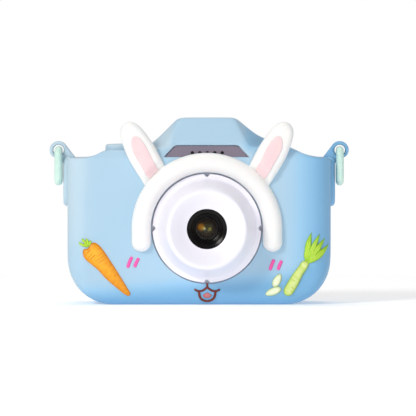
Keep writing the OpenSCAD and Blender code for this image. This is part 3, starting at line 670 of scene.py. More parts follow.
# what each finish gives the eye stands beside it
finish = {
    "cover": coverFinish(),
    # satin white with soft edges where light sinks in
    "white": mouldedFinish("mouldedSiliconeWhite", "#f6f6f5", "#f1f0ee", 0.42, 1.41, soft=0.2),
    # powdery pink, less glossy than the white round it
    "pink": mouldedFinish("mouldedSiliconeBlushPink", "#fadfe0", "#f6cdd2", 0.5, 1.41, patch=5, soft=0.15),
    # raised pictures: painted shade darkens each edge and a painted highlight lightens each crown, so that
    # each shape stands out from the blue
    "carrot": pictureFinish("mouldedSiliconeCarrot", "#d67f0c", "#ee9f18", "#f8b72e"),
    "leaf": pictureFinish("mouldedSiliconeLeafGreen", "#78b024", "#a4d034", "#bfe04a", streak=2.0),
    "radish": pictureFinish("mouldedSiliconePaleGreen", "#9cb93c", "#cbdd78", "#deeba0", streak=1.8),
    "slice": pictureFinish("mouldedSiliconeCream", "#b4c288", "#dce6b6", "#eef4d4"),
    "blush": pictureFinish("mouldedSiliconeMagenta", "#ee3c98", "#fa4fa8", "#ff62b4"),
    "mouth": pictureFinish("mouldedSiliconeBrown", "#4c150e", "#6a2419", "#7c3325"),
    "tongue": pictureFinish("mouldedSiliconeRose", "#a3555a", "#b96c70", "#c97c7e"),
    # hard and smoother than the cover, with a cool lilac cast in its shadows
    "shell": mouldedFinish("mouldedAbsLilacWhite", "#f5f3fb", "#efedf8", 0.3, 1.53, grain=0.35, depth=0.02,
                           roughVary=0.03),
    # glossy buttons and their dull printed signs
    "key": mouldedFinish("polishedAbsLilac", "#e4e0f2", "#dad5ec", 0.2, 1.53, depth=0.01, roughVary=0.02,
                         coat=0.3),
    "keyMark": mouldedFinish("printedKeySymbolInk", "#6f6a86", "#64607c", 0.45, 1.5),
    # the dark band on the hump, and black discs behind its holes, painted shade that makes the holes read
    # dark
    "grille": mouldedFinish("mouldedAbsGreyLilac", "#897d8c", "#797384", 0.42, 1.53, depth=0.03),
    "mesh": mouldedFinish("soundHoleShadeBlack", "#070607", "#0b0a0b", 0.8, 1.45, grain=0.12),
    # waxy links that let a little light in
    "mint": mouldedFinish("mouldedAcetalMint", "#d9efe2", "#b9e0d8", 0.32, 1.48, patch=4, soft=0.25,
                          softColour=(0.7, 1.0, 0.8)),
    # the lens tube: deep black with a gleam on its cone
    "black": mouldedFinish("mouldedAbsBlack", "#060505", "#0a0808", 0.24, 1.46, depth=0.006, grain=0.3,
                           roughVary=0.03, level=0.22),
    # bright metal with soft reflections, and the thin grey ring round the glass
    "steel": mouldedFinish("stampedSteel", "#b9babd", "#a8a9ac", 0.28, 1.5, grain=0.8, depth=0.01,
                           metallic=1.0),
    "ring": mouldedFinish("anodisedLensRing", "#6d6c72", "#5d5c63", 0.3, 1.5, metallic=1.0, depth=0.005),
    # inside: satin green boards, dull black packages, crinkled foil, red leads, amber film, dark display
    "board": mouldedFinish("solderMaskGreen", "#1d5a38", "#164a2d", 0.35, 1.5, grain=1.5),
    "chip": mouldedFinish("mouldedEpoxyPackage", "#1c1c1d", "#262627", 0.55, 1.5),
    "foil": mouldedFinish("heatSealedFoil", "#c3c4c8", "#acadb2", 0.35, 1.5, grain=2.0, depth=0.1,
                          metallic=1.0),
    "wire": mouldedFinish("siliconeWireRed", "#b01818", "#991414", 0.45, 1.45),
    "ribbon": mouldedFinish("polyimideFilm", "#c07a2c", "#a86620", 0.3, 1.6),
    "display": mouldedFinish("displayStack", "#0d0e12", "#121319", 0.2, 1.5),
}
finish["lens"] = lensFinish()
finish["clear"] = clearFinish("coatedCoverGlass", "#060708", 0.25)  # black depth with a gleam
finish["screen"] = screenFinish()
print("materials made:", len(finish))


def eased(share):
    # 0 to 1 with a level start and end: 3 s squared minus 2 s cubed
    share = np.clip(share, 0, 1)
    return share * share * (3 - 2 * share)


# where the painted shade and light on the cover change, in mm: where each change starts and over how far it
# runs
paintedShadeLayout = {"foot": (12.5, 9), "climb": 0.08, "right": (30, 15), "left": (36, 10), "leftUp": (8, 20),
           "hump": (56, 3), "humpRight": (15.5, 4), "humpLeft": (8, 4),
           # how much of it there is everywhere, towards the foot, and in each of those places
           "base": 0.15, "down": 0.06, "footShare": 0.75, "rightShare": 0.7, "humpShare": 0.6,
           "leftShare": 0.15}


def paintedCoverShading(points):
    # painted shade and light, standing in for how the studio light falls: deepest (painted shade) along the
    # foot, in a band that climbs to the right, up the right side and on the hump's right flank, and palest
    # (painted light) up the left side and on the hump's left flank
    x, z = points[..., 0], points[..., 2]
    g = paintedShadeLayout

    def past(value, name):
        # 0 before a change starts, 1 once it is over
        return eased((value - g[name][0]) / g[name][1])

    foot = eased((g["foot"][0] - z + g["climb"] * x) / g["foot"][1])
    hump = past(z, "hump")
    right = past(x, "right") + g["humpShare"] * hump * past(x, "humpRight")
    left = past(-x, "left") * past(z, "leftUp") + hump * past(-x, "humpLeft")
    return np.clip(g["base"] + g["down"] * (1 - z / g["hump"][0]) + g["footShare"] * foot
                   + g["rightShare"] * right - g["leftShare"] * left, 0, 1)


lug = {"foot": 36.3, "head": 55.2, "halfDepth": 4.4, "padCorner": 4.3, "padEdge": 1.4, "out": 2.7,
       "eyeX": 52.4, "eyeY": 4.0, "eyeZ": 57.2, "eyeRadius": 3.35, "eyeHole": 1.95, "plateHalf": 1.6,
       "plateEdge": 1.15, "wallX": 47.9, "neckLow": [(46.2, 50.0), (50.6, 52.2)], "neckHigh": (46.2, 54.6)}


def lugSkins(side):
    # the pad on the side wall, a rounded plate, and the eye plate: a ring from its outline to its hole
    g = lug
    outline = roundedBox(g["eyeY"] - g["halfDepth"], g["eyeY"] + g["halfDepth"], g["foot"], g["head"],
                         g["padCorner"])
    spine = np.column_stack([np.full(len(outline), g["eyeY"]),
                             np.clip(outline[:, 1], g["foot"] + g["padCorner"],
                                     g["head"] - g["padCorner"])])
    grid, padFaces = plateSkin(outline, spine, plateLayers(g["out"], 0.0, g["padEdge"]))
    pad = np.stack([side * (g["wallX"] + grid[..., 2]), grid[..., 0], grid[..., 1]], -1)
    a = np.radians(np.linspace(-40, 140, 30))
    outer = np.concatenate([g["neckLow"], np.column_stack([g["eyeX"] + g["eyeRadius"] * np.cos(a),
                                                           g["eyeZ"] + g["eyeRadius"] * np.sin(a)]),
                            [g["neckHigh"]]])
    outer = evenSteps(outer, 150, closed=True)
    centre = np.array([g["eyeX"], g["eyeZ"]])
    inward = centre - outer
    inward /= np.linalg.norm(inward, axis=1)[:, None]
    hole = centre - inward * g["eyeHole"]
    r, flat = g["plateEdge"], g["plateHalf"] - g["plateEdge"]
    rings = []
    for sign, turn, base, way in ((-1, 1, outer, 1), (-1, -1, hole, -1), (1, 1, hole, -1),
                                  (1, -1, outer, 1)):
        for t in np.linspace(0, math.pi / 2, 7)[::turn]:
            at = base + inward * way * r * (1 - math.cos(t))
            rings.append(np.column_stack([side * at[:, 0],
                                          np.full(len(at), g["eyeY"] + sign * (flat + r * math.sin(t))),
                                          at[:, 1]]))
    eye = np.stack(rings)
    return [(pad, padFaces, 0), (eye, gridFaces(len(eye), eye.shape[1], closeRows=True), 0)]


shellPoints, shellFaces = openCover(coverSkin())
shellPoints, shellFaces = thicken(shellPoints, shellFaces, cover["wall"])
points, faces, _ = joinParts([(shellPoints, shellFaces, 0)] + lugSkins(1) + lugSkins(-1))
makePiece("softCover", points, faces, finish["cover"], "silicone_blue", ["silicone_case"],
          paintedShading=paintedCoverShading(points), sharp=42)
print("cover made:", len(faces), "cells")


band = {"radius": 24.3, "halfWidth": 3.6, "height": 3.7, "leg": 5.1, "foot": -9.05, "fullness": 2.2}


def headbandSkin():
    # a dome carried along a half ring and two straight legs; past a leg's end, at distance d, it is cut
    # to the chord of the round end, and the height falls with the distance from the end's middle
    g = band
    w, leg = g["halfWidth"], g["leg"]
    d = w * np.sin(np.linspace(math.pi / 2, 0, 16))
    down = np.concatenate([-leg - d, np.linspace(-leg, 0, 9)[1:]])
    beyond = np.concatenate([d, np.zeros(8)])
    turn = np.linspace(math.pi, 0, 161)[1:-1]
    centre = np.concatenate([np.column_stack([0 * down - g["radius"], down]),
                             g["radius"] * np.column_stack([np.cos(turn), np.sin(turn)]),
                             np.column_stack([0 * down + g["radius"], down])[::-1]])
    out = np.concatenate([np.tile([-1.0, 0.0], (len(down), 1)),
                          np.column_stack([np.cos(turn), np.sin(turn)]),
                          np.tile([1.0, 0.0], (len(down), 1))])
    beyond = np.concatenate([beyond, 0 * turn, beyond[::-1]])[:, None]
    u = np.cos(np.linspace(0, math.pi, 31))[None, :]
    across = np.sqrt(np.maximum(w * w - beyond ** 2, 0)) * u
    share = np.minimum(np.sqrt(beyond ** 2 + across ** 2) / w, 1)
    height = g["height"] * np.sqrt(1 - share ** g["fullness"])
    across = np.concatenate([across, across[:, -1:], across[:, :1]], 1)
    height = np.concatenate([height, np.full((len(height), 2), -root)], 1)
    flat = centre[:, None] + out[:, None] * across[..., None]
    return np.stack([lensCentre["x"] + flat[..., 0], g["foot"] - height, lensCentre["z"] + flat[..., 1]],
                    -1), gridFaces(len(flat), flat.shape[1])


makePiece("headbandArch", *headbandSkin(), finish["white"], "silicone_white", ["headband"])

ear = {"baseX": 19.1, "baseZ": 19.5, "lean": 27, "thick": 3.0, "edge": 2.3, "footRadius": 25.8,
       "inlayFoot": 28.0, "inlayThick": 0.5, "dip": 2.0, "dipFrom": 31.5, "dipTo": 27.6,
       # the middle lines: how far across, and from where to where along
       "spine": (0.6, 2.5, 17.4), "inlaySpine": (0.75, 3.4, 14.2),
       # across the ear's axis and along it, outer side first
       "outline": [(5.1, -2.5), (5.25, 0), (5.75, 4.9), (6.0, 11.1), (5.3, 16.8), (4.1, 20.4), (1.9, 22.15),
                   (-0.6, 22.0), (-2.45, 20.2), (-3.65, 17.0), (-4.65, 10.8), (-4.8, 5.6), (-4.7, 0),
                   (-4.65, -2.5)],
       "inlay": [(2.4, 0), (3.1, 6.4), (3.25, 11.2), (2.5, 14.6), (0.9, 16.4), (-0.5, 15.9), (-1.5, 14),
                 (-1.85, 10.9), (-1.8, 6.2), (-1.6, 0)]}


def earFoot(a, radius):
    # how far up the ear's axis, at a across it, the circle about the lens crosses
    c, s = cosSin(ear["lean"])
    q = np.stack([ear["baseX"] + a * c, ear["baseZ"] - a * s], -1)
    along = q[..., 0] * s + q[..., 1] * c
    return -along + np.sqrt(along ** 2 - (q ** 2).sum(-1) + radius ** 2)


def ontoEar(grid, side, front, share=1.0):
    # across, along and thickness of the ear as a place; side is 1 for the right ear, -1 for the left.
    # Towards the headband the ear's front falls back by its share of the dip, to pass under the band
    c, s = cosSin(ear["lean"])
    x = ear["baseX"] + grid[..., 0] * c + grid[..., 1] * s
    z = ear["baseZ"] - grid[..., 0] * s + grid[..., 1] * c
    dip = eased((ear["dipFrom"] - np.hypot(x, z)) / (ear["dipFrom"] - ear["dipTo"]))
    y = front - grid[..., 2] + ear["dip"] * dip * share
    return np.stack([lensCentre["x"] + side * x, y, lensCentre["z"] + z], -1)


def earSkin():
    # a cushioned plate; its foot follows a circle that lies inside the headband
    sides = smoothLine(ear["outline"], 10)
    sides[:, 1] = np.maximum(sides[:, 1], earFoot(sides[:, 0], ear["footRadius"]))
    foot = np.linspace(sides[-1, 0], sides[0, 0], 14)[1:-1]
    outline = np.concatenate([sides, np.column_stack([foot, earFoot(foot, ear["footRadius"])])])
    outline = evenSteps(outline, 180, closed=True)
    across, low, high = ear["spine"]
    spine = np.column_stack([across + 0 * outline[:, 0], np.clip(outline[:, 1], low, high)])
    return plateSkin(outline, spine, plateLayers(ear["thick"], 0.3, ear["edge"], 0.2, steps=8))


def inlaySkin():
    # the thin pink pad on the ear, cut off along the headband
    loop = smoothLine(ear["inlay"], 12, closed=True)
    loop[:, 1] = np.maximum(loop[:, 1], earFoot(loop[:, 0], ear["inlayFoot"]))
    outline = evenSteps(loop, 110, closed=True)
    across, low, high = ear["inlaySpine"]
    spine = np.column_stack([across + 0 * outline[:, 0], np.clip(outline[:, 1], low, high)])
    return plateSkin(outline, spine, plateLayers(ear["inlayThick"], 0.0, 0.35, 0.12))


for side, word in ((1, "right"), (-1, "left")):
    grid, faces = earSkin()
    makePiece(word + "EarPad", ontoEar(grid, side, band["foot"], grid[..., 2] / ear["thick"]), faces,
              finish["white"], "silicone_white", [word + "_ear"])
    grid, faces = inlaySkin()
    makePiece(word + "EarInlay", ontoEar(grid, side, band["foot"] - ear["thick"]), faces, finish["pink"],
              "silicone_pink", [word + "_inner_ear"])
print("headband and ears made")


def turnedLeft(outline, spine):
    # the same outline run anticlockwise
    x, z = outline[:, 0], outline[:, 1]
    area = (x * np.roll(z, -1) - z * np.roll(x, -1)).sum()
    return (outline, spine) if area > 0 else (outline[::-1], spine[::-1])


def puffSkin(outline, spine, height, relief=None, rings=9, power=2.4, along=None):
    # a cushion over an outline: at share s of the way from the outline to the middle line the height is
    # the root of 1 minus (1 - s) to the power, times a little less where the picture is narrow. Along is
    # each point's place on the middle line, where the two sides must meet at one height
    if along is None:
        outline, spine = turnedLeft(outline, spine)
        reach = np.linalg.norm(outline - spine, axis=1)
    else:
        step = outline - spine
        way = np.array([spine[along.argmax()] - spine[along.argmin()]])
        left = (way[:, 0] * step[:, 1] - way[:, 1] * step[:, 0]) > 0
        reach = np.zeros(len(outline))
        for mask in (left, ~left):
            order = np.argsort(along[mask])
            reach += 0.5 * np.interp(along, along[mask][order],
                                     np.linalg.norm(step[mask], axis=1)[order])
        outline, spine = turnedLeft(outline, np.column_stack([spine, reach]))
        spine, reach = spine[:, :2], spine[:, 2]
    local = height * np.clip(reach / reach.max(), 0.02, 1) ** 0.5
    shares = np.sin(np.linspace(0, math.pi / 2, rings)) ** 1.3
    layers = [(1.0, -root), (0.0, -root)] + [(s, (1 - (1 - s) ** power) ** 0.5) for s in shares]
    grid = []
    for s, h in layers:
        at = outline + (spine - outline) * s
        up = np.full(len(at), h) if h < 0 else local * h
        if relief is not None and h > 0:
            up = up * (1 - relief(at) * h)
        grid.append(np.column_stack([at, up]))
    return np.stack(grid), gridFaces(len(grid), len(outline))


def axisSkin(loop, start, end, height, relief=None, low=0.1, high=0.95, rings=24):
    # a cushion whose middle line is the straight axis from start to end
    a, d = np.array(start, float), np.array(end, float) - np.array(start, float)
    t = np.clip(((loop - a) @ d) / (d @ d), low, high)
    return puffSkin(loop, a + t[:, None] * d, height, relief, rings, along=t)


def scatter(i, seed):
    # a repeatable number from 0 to 1 for each whole number
    v = np.sin(i * 12.9898 + seed * 78.233) * 43758.5453
    return v - np.floor(v)


def creases(start, end, halfWidth, spacing, depth, seed, narrow=0.16):
    # short cross grooves: along the root's axis one per spacing, shifted by chance, each running in from
    # one side for a share of the width; the groove is a bell curve across its own line
    a, d = np.array(start, float), np.array(end, float) - np.array(start, float)
    length = np.linalg.norm(d)
    u = d / length
    side = np.array([-u[1], u[0]])

    def relief(at):
        t, c = (at - a) @ u, (at - a) @ side / halfWidth
        out = np.zeros(len(at))
        for k in (-1, 0, 1):
            i = np.floor(t / spacing) + k
            hand = np.where(scatter(i, seed) > 0.5, 1, -1)
            middle = (i + 0.5 + 0.5 * (scatter(i, seed + 1) - 0.5)) * spacing + 0.35 * c * hand
            stop = -0.5 + 0.9 * scatter(i, seed + 2)
            inside = np.clip((c * hand - stop) * 3, 0, 1)
            out = np.maximum(out, inside * np.exp(-((t - middle) / narrow) ** 2))
        return depth * out

    return relief


def bladeSkin(base, tip, bend, width, height, full=0.5, pointed=True, crease=0.0):
    # a leaf: its middle line bends sideways by bend, and its half width grows to full and falls to the tip
    t = np.linspace(0, 1, 40)[:, None]
    a, b = np.array(base, float), np.array(tip, float)
    d = b - a
    side = np.array([-d[1], d[0]]) / np.linalg.norm(d)
    middle = a + d * t + side * bend * 4 * t * (1 - t)
    grow = np.clip(t / full, 0, 1)
    fall = np.clip((t - full) / (1 - full), 0, 1)
    half = width / 2 * (0.45 + 0.55 * np.sin(grow * math.pi / 2))
    half = half * ((1 - fall ** 1.5) if pointed else np.sqrt(1 - fall ** 2.2))
    half = half * np.minimum(1, np.sqrt(t / 0.06 + 0.02))
    outline = np.concatenate([middle - side * half, (middle + side * half)[::-1]])
    spine = np.concatenate([middle, middle[::-1]])

    def vein(at):
        # a groove down the middle line and two finer ones beside it
        near = np.linalg.norm(at[:, None] - middle[None], axis=-1).min(1)
        return crease * (np.exp(-(near / 0.14) ** 2) + 0.6 * np.exp(-((near - width * 0.27) / 0.1) ** 2))

    return puffSkin(outline, spine, height, vein if crease else None)


def strokeSkin(line, width, height, count=48):
    # a line of even width with round ends, standing up as half a rod
    p = evenSteps(np.asarray(line, float), count)
    d = np.gradient(p, axis=0)
    n = np.stack([-d[:, 1], d[:, 0]], -1) / np.linalg.norm(d, axis=1)[:, None]
    length = np.linalg.norm(np.diff(p, axis=0), axis=1).sum()
    s = np.linspace(0, 1, count) * length
    end = np.clip(np.minimum(s, length - s) / (width / 2), 0, 1)
    half = (width / 2 * np.sqrt(1 - (1 - end) ** 2))[:, None]
    return puffSkin(np.concatenate([p + n * half, (p - n * half)[::-1]]), np.concatenate([p, p[::-1]]),
                    height, rings=6, power=2.0)


def makePicture(name, skins, material, slot, node):
    # several cushions laid on the cover's front as one piece; the painted shading follows the height, 0 at
    # an edge for painted shade and 1 inside for painted highlight
    parts = [(ontoCover(grid), faces, 0) for grid, faces in skins]
    paintedShading = np.concatenate([np.clip(grid[..., 2] / grid[..., 2].max(), 0, 1).reshape(-1)
                           for grid, _ in skins])
    points, faces, _ = joinParts(parts)
    makePiece(name, points, faces, material, slot, [node], paintedShading=paintedShading, sharp=60)


def closedLoop(points, count):
    # a smooth closed line through listed points, at equal steps
    return evenSteps(smoothLine(points, 6, closed=True), count, closed=True)


carrot = {"height": 1.15, "start": (-40.9, 20.2), "end": (-26.4, 4.2), "leafHeight": 0.75}
carrotLoop = closedLoop([(-41.2, 20.9), (-42.6, 20.7), (-43.1, 19.4), (-42.4, 17.3), (-40.2, 15.2),
                         (-37.5, 13), (-34.6, 9.8), (-31.4, 7), (-27.8, 4.1), (-26.2, 3.3),
                         (-25.4, 4.2), (-26.7, 6.6), (-29.3, 10.9), (-32.3, 15.6), (-35.5, 20.4),
                         (-37.6, 22.6), (-39.2, 23.1), (-40.5, 22.2)], 260)
makePicture("carrotRoot", [axisSkin(carrotLoop, carrot["start"], carrot["end"], carrot["height"],
                                    creases(carrot["start"], carrot["end"], 3.4, 1.15, 0.3, 3), 0.14)],
            finish["carrot"], "silicone_orange", "carrot_root")
makePicture("carrotTop", [bladeSkin((-41.0, 21.6), tip, bend, wide, carrot["leafHeight"], 0.62, False, 0.2)
                          for tip, bend, wide in (((-44.6, 23.1), 0.25, 1.0), ((-43.5, 24.5), -0.15, 0.95),
                                                  ((-41.8, 24.6), -0.2, 0.95), ((-40.2, 23.9), -0.2, 0.95),
                                                  ((-42.6, 22.7), 0.0, 1.5))],
            finish["leaf"], "silicone_leaf", "carrot_leaves")

radish = {"height": 1.15, "start": (39.2, 15.2), "end": (33.0, 5.0), "leafHeight": 0.8}
radishLoop = closedLoop([(38.4, 16.3), (36.6, 14), (34.7, 11.5), (32.7, 8.3), (31.4, 5.9), (31.5, 4.2),
                         (32.8, 3.3), (34.4, 3.9), (35.7, 5.8), (37.1, 8.3), (38.4, 11.1), (39.9, 13.4),
                         (40.7, 15.3), (40.0, 16.2)], 230)
makePicture("radishRoot", [axisSkin(radishLoop, radish["start"], radish["end"], radish["height"],
                                    creases(radish["start"], radish["end"], 2.2, 1.3, 0.24, 8))],
            finish["radish"], "silicone_pale_green", "radish_root")
makePicture("radishTop", [bladeSkin((39.9, 15.6), tip, bend, wide, radish["leafHeight"] * tall, full, True,
                                    0.22)
                          for tip, bend, wide, tall, full in (
                              ((41.6, 26.9), 0.5, 2.3, 0.9, 0.55), ((44.7, 26.4), 0.1, 2.2, 1.0, 0.5),
                              ((46.6, 24.8), -0.2, 2.3, 0.85, 0.5), ((48.1, 22.5), -0.7, 2.5, 1.0, 0.5),
                              ((43.0, 21.8), 0.0, 3.6, 0.8, 0.55), ((39.9, 21.6), 0.3, 1.7, 0.75, 0.5))],
            finish["leaf"], "silicone_leaf", "radish_leaves")


def petal(x, z, long, wide, angle, pull):
    # an ellipse with one end drawn out: its sides are pulled in towards that end
    t = np.linspace(0, 2 * math.pi, 90, endpoint=False)
    u, v = long / 2 * np.cos(t), wide / 2 * np.sin(t) * (1 - pull * np.cos(t))
    c, s = cosSin(angle)
    outline = np.column_stack([x + u * c - v * s, z + u * s + v * c])
    k = np.clip(u, -long * 0.32, long * 0.32)
    return puffSkin(outline, np.column_stack([x + k * c, z + k * s]), 0.75)


makePicture("radishSlices", [petal(28.9, 9.1, 5.4, 2.9, 62, 0.18), petal(27.5, 5.0, 6.3, 2.9, 22, -0.1)],
            finish["slice"], "silicone_cream", "radish_slices")
blush = {"width": 1.2, "height": 0.45, "bow": 0.12,
         "ends": [(-24.8, 17.9, -26.5, 13.7), (-22.3, 17.4, -23.9, 13.9), (27.8, 16.9, 26.2, 12.8),
                  (30.6, 16.5, 29.2, 12.9)]}
makePicture("blushMarks", [strokeSkin(smoothLine([(x0, z0), ((x0 + x1) / 2 - blush["bow"], (z0 + z1) / 2),
                                                  (x1, z1)]), blush["width"], blush["height"])
                           for x0, z0, x1, z1 in blush["ends"]],
            finish["blush"], "silicone_magenta", "blush_marks")
# each line's width and points: the short upright, the double curve under it and the open mouth
mouth = {"height": 0.45,
         "lines": [(0.75, [(3, 8.2), (3, 5.9)]),
                   (0.8, smoothLine([(-1.8, 5.9), (-0.6, 5.2), (0.9, 5.2), (2.1, 5.8), (3, 6.5), (3.9, 5.8),
                                     (5.1, 5.2), (6.6, 5.2), (7.8, 5.9)])),
                   (0.95, smoothLine([(-0.1, 5.0), (0.3, 3.0), (1.3, 1.8), (3, 1.3), (4.7, 1.8), (5.7, 3.0),
                                      (6.1, 5.0)]))]}
makePicture("mouthLine", [strokeSkin(line, wide, mouth["height"]) for wide, line in mouth["lines"]],
            finish["mouth"], "silicone_brown", "mouth_line")
tongueLoop = closedLoop([(3, 4.7), (1.9, 4.1), (1.3, 3.5), (2.0, 2.7), (3.0, 2.45), (4.0, 2.7),
                         (4.7, 3.5), (4.1, 4.1)], 80)
makePicture("tonguePad", [axisSkin(tongueLoop, (2.2, 3.5), (3.8, 3.5), mouth["height"], low=0, high=1,
                                   rings=9)],
            finish["tongue"], "silicone_rose", "tongue")
print("pictures made")


barrel = {"edge": 20.2, "flangeFrom": 18.6, "notchWidth": 1.2, "notchDepth": 1.15}
# profiles are (radius, distance forward, corner's reach): the barrel's bore, dish, rim, wall and flange
barrelProfile = [
    (9.3, 4, 0), (9.3, 17.4, 0.3), (11.6, 20.2, 0.4), (13.5, 20.6, 0.3), (16.2, 9, 0), (16.2, 7, 0),
    (barrel["edge"], 7, 0), (barrel["edge"], 9.6, 0.5), (18.3, 9.75, 0.5), (17.75, 11.2, 0.8),
    (15.3, 21.3, 1.0), (14.3, 23.4, 1.7), (8.7, 19.6, 1.4), (7.75, 19.2, 0.12), (7.7, 18.4, 0),
    (7.7, 4, 0)]
# the baffle: a rim, a shallow polished cone, then steps that fall back towards the glass
tubeProfile = [
    (7.65, 1.6, 0), (7.65, 18.6, 0.12), (7.25, 18.65, 0.15), (7.05, 18.05, 0.15), (5.75, 17.45, 0.3),
    (5.55, 16.2, 0.15), (5.15, 16.0, 0.12), (5.0, 14.9, 0.12), (4.62, 14.75, 0.1), (4.6, 12.6, 0),
    (4.15, 12.6, 0), (4.15, 3, 0), (5.5, 3, 0), (5.5, 1.6, 0)]
ringProfile = [(3.82, 11.4, 0), (4.12, 11.4, 0), (4.12, 12.3, 0.1), (3.98, 12.4, 0.06), (3.8, 12.2, 0.08)]
# the two glasses: a back, then a domed front
coverGlass = np.concatenate([[(0, 12.65), (4.45, 12.65), (4.5, 13.2)], domeLine(4.35, 20, 13.72, 0.016)])
frontLens = np.concatenate([[(0, 8.0), (3.9, 8.9)], domeLine(3.9, 24, 11.25, 0.05)])


def barrelSkin():
    # the turned barrel; near its edge each of four notches takes off a depth that falls with the
    # distance round from the notch's middle
    grid, faces = turnedSkin(softCorners(barrelProfile, steps=9, closed=True), 720)
    r = np.hypot(grid[..., 0], grid[..., 1])
    a = np.arctan2(grid[..., 1], grid[..., 0])
    off = np.abs((a + math.pi / 4) % (math.pi / 2) - math.pi / 4) * barrel["edge"]
    bite = barrel["notchDepth"] * np.sin(math.pi / 2 * np.clip(1 - off / barrel["notchWidth"], 0, 1))
    limit = barrel["edge"] - bite
    k = np.where((r > limit) & (r > barrel["flangeFrom"]), limit / np.maximum(r, 1e-6), 1)
    return np.stack([grid[..., 0] * k, grid[..., 1] * k, grid[..., 2]], -1), faces


for name, (grid, faces), look, slot, node, sharp in (
        ("lensBarrel", barrelSkin(), "shell", "shell_plastic", "lens_barrel", 50),
        ("lensTube", turnedSkin(softCorners(tubeProfile, closed=True), 256), "black", "black_plastic",
         "lens_tube", 30),
        ("coverGlass", turnedSkin(coverGlass, 160, closed=False), "clear", "coated_glass",
         "cover_glass", 50),
        ("lensRing", turnedSkin(softCorners(ringProfile, closed=True), 160), "ring", "ring_metal",
         "lens_ring", 50),
        ("frontLens", turnedSkin(frontLens, 160, closed=False), "lens", "coated_glass", "front_lens", 50)):
    makePiece(name, ontoFront(grid, lensCentre["x"], lensCentre["z"]), faces, finish[look], slot, [node],
              sharp=sharp)
print("lens made")

soundHoles = {"first": -5.37, "pitch": 2.76, "count": 5, "up": 2.5, "radius": 0.67, "inward": 1.05,
              "thick": 0.25, "dome": 0.05}
g = soundHoles
# a slightly domed black disc just inside each sound hole, laid in the plane of the hump's face: painted
# shade that makes the hole read dark
disc = np.concatenate([[(0, -g["thick"]), (g["radius"], -g["thick"])],
                       domeLine(g["radius"], 5, g["dome"], g["dome"] / g["radius"] ** 2)])
grid, faces = turnedSkin(disc, 40, closed=False)
inward, up = g["inward"] - grid[..., 2], g["up"] + grid[..., 1]
y = cover["frontY"] + inward * math.cos(lean) + up * math.sin(lean)
z = cover["creaseZ"] + up * math.cos(lean) - inward * math.sin(lean)
firstX = lensCentre["x"] + g["first"]
points, faces, _ = joinParts([(np.stack([firstX + i * g["pitch"] + grid[..., 0], y, z], -1), faces, 0)
                              for i in range(g["count"])])
makePiece("soundHoleShadeDiscs", points, faces, finish["mesh"], "black_plastic")


flat = button["radius"] - button["edge"]  # where the cap's round edge ends and its dome starts
capProfile = np.concatenate([
    [(0, button["foot"])], softCorners([(button["radius"], button["foot"], 0),
                                        (button["radius"], button["top"], button["round"]),
                                        (flat, button["top"], 0)])[:-1],
    domeLine(flat, 14, button["top"] + button["dome"], button["dome"] / flat ** 2)])
grid, faces = turnedSkin(capProfile, 160, closed=False)
capPoints = ontoTop(grid, button["x"], button["y"])
makePiece("shutterCap", capPoints, faces, finish["cover"], "silicone_blue", ["shutter_button"],
          body="shutter", paintedShading=paintedCoverShading(capPoints), sharp=50)

keyShape = {"radius": 3.0, "top": 22.95, "round": 0.7, "dome": 0.12, "markHeight": 0.1,
            "markWidth": 0.42, "flange": 3.8, "flangeFoot": 18, "flangeTop": 18.7, "stem": 1.2,
            "stemFoot": 17.25}


def keySkin(x, z, marks):
    # the key's cap with its inner flange and stem, and its symbol as low strokes on the domed top
    g = keyShape
    fall = g["dome"] / g["radius"] ** 2
    profile = np.concatenate([
        [(0, g["stemFoot"]), (g["stem"], g["stemFoot"]), (g["stem"], g["flangeFoot"]),
         (g["flange"], g["flangeFoot"]), (g["flange"], g["flangeTop"]), (g["radius"], g["flangeTop"])],
        softCorners([(g["radius"], g["flangeTop"], 0), (g["radius"], g["top"] - g["dome"], g["round"]),
                     (g["radius"] - g["round"], g["top"] - g["dome"], 0)])[1:-1],
        domeLine(g["radius"] - g["round"], 10, g["top"], fall)])
    grid, faces = turnedSkin(profile, 96, closed=False)
    parts = [(ontoBack(grid, x, z), faces, 0)]
    for line in marks:
        mark, markFaces = strokeSkin(line, g["markWidth"], g["markHeight"], 40)
        r = np.hypot(mark[..., 0], mark[..., 1])
        y = g["top"] - fall * r ** 2 + np.maximum(mark[..., 2], -g["markHeight"])
        parts.append((np.stack([x - mark[..., 0], y, z + mark[..., 1]], -1), markFaces, 1))
    return joinParts(parts)


def chevron(angle):
    # an arrow head that points along the angle
    c, s = cosSin(angle)
    p = np.array([(-0.45, -0.95), (0.55, 0.0), (-0.45, 0.95)])
    return p @ np.array([[c, s], [-s, c]])


def ringLine(r, start=0, end=360):
    # part of a circle, by its angles in degrees
    a = np.radians(np.linspace(start, end, 50))
    return np.column_stack([r * np.cos(a), r * np.sin(a)])


keyMarks = {  # place of each key and its symbol, seen from behind
    "up": (-30.5, 31.5, [chevron(90)]), "down": (-30.5, 15.5, [chevron(-90)]),
    "right": (-22.5, 23.5, [chevron(180)]), "left": (-38.5, 23.5, [chevron(0)]),
    "ok": (-30.5, 23.5, [ringLine(1.1)]),
    "mode": (-36.5, 41, [[(-0.7, 1.0), (-0.7, -1.0)], [(-0.7, 1.0), (1.0, 0.0)],
                         [(1.0, 0.0), (-0.7, -1.0)]]),
    "power": (-24.5, 41, [ringLine(1.15, 130, 410), [(0, 0.5), (0, 1.55)]]),
}
for key, (x, z, marks) in keyMarks.items():
    points, faces, slots = keySkin(x, z, marks)
    makePiece(key + "Key", points, faces, [finish["key"], finish["keyMark"]], "key_plastic",
              ["key_" + key], body="key_" + key + "_body", slots=slots, sharp=45)

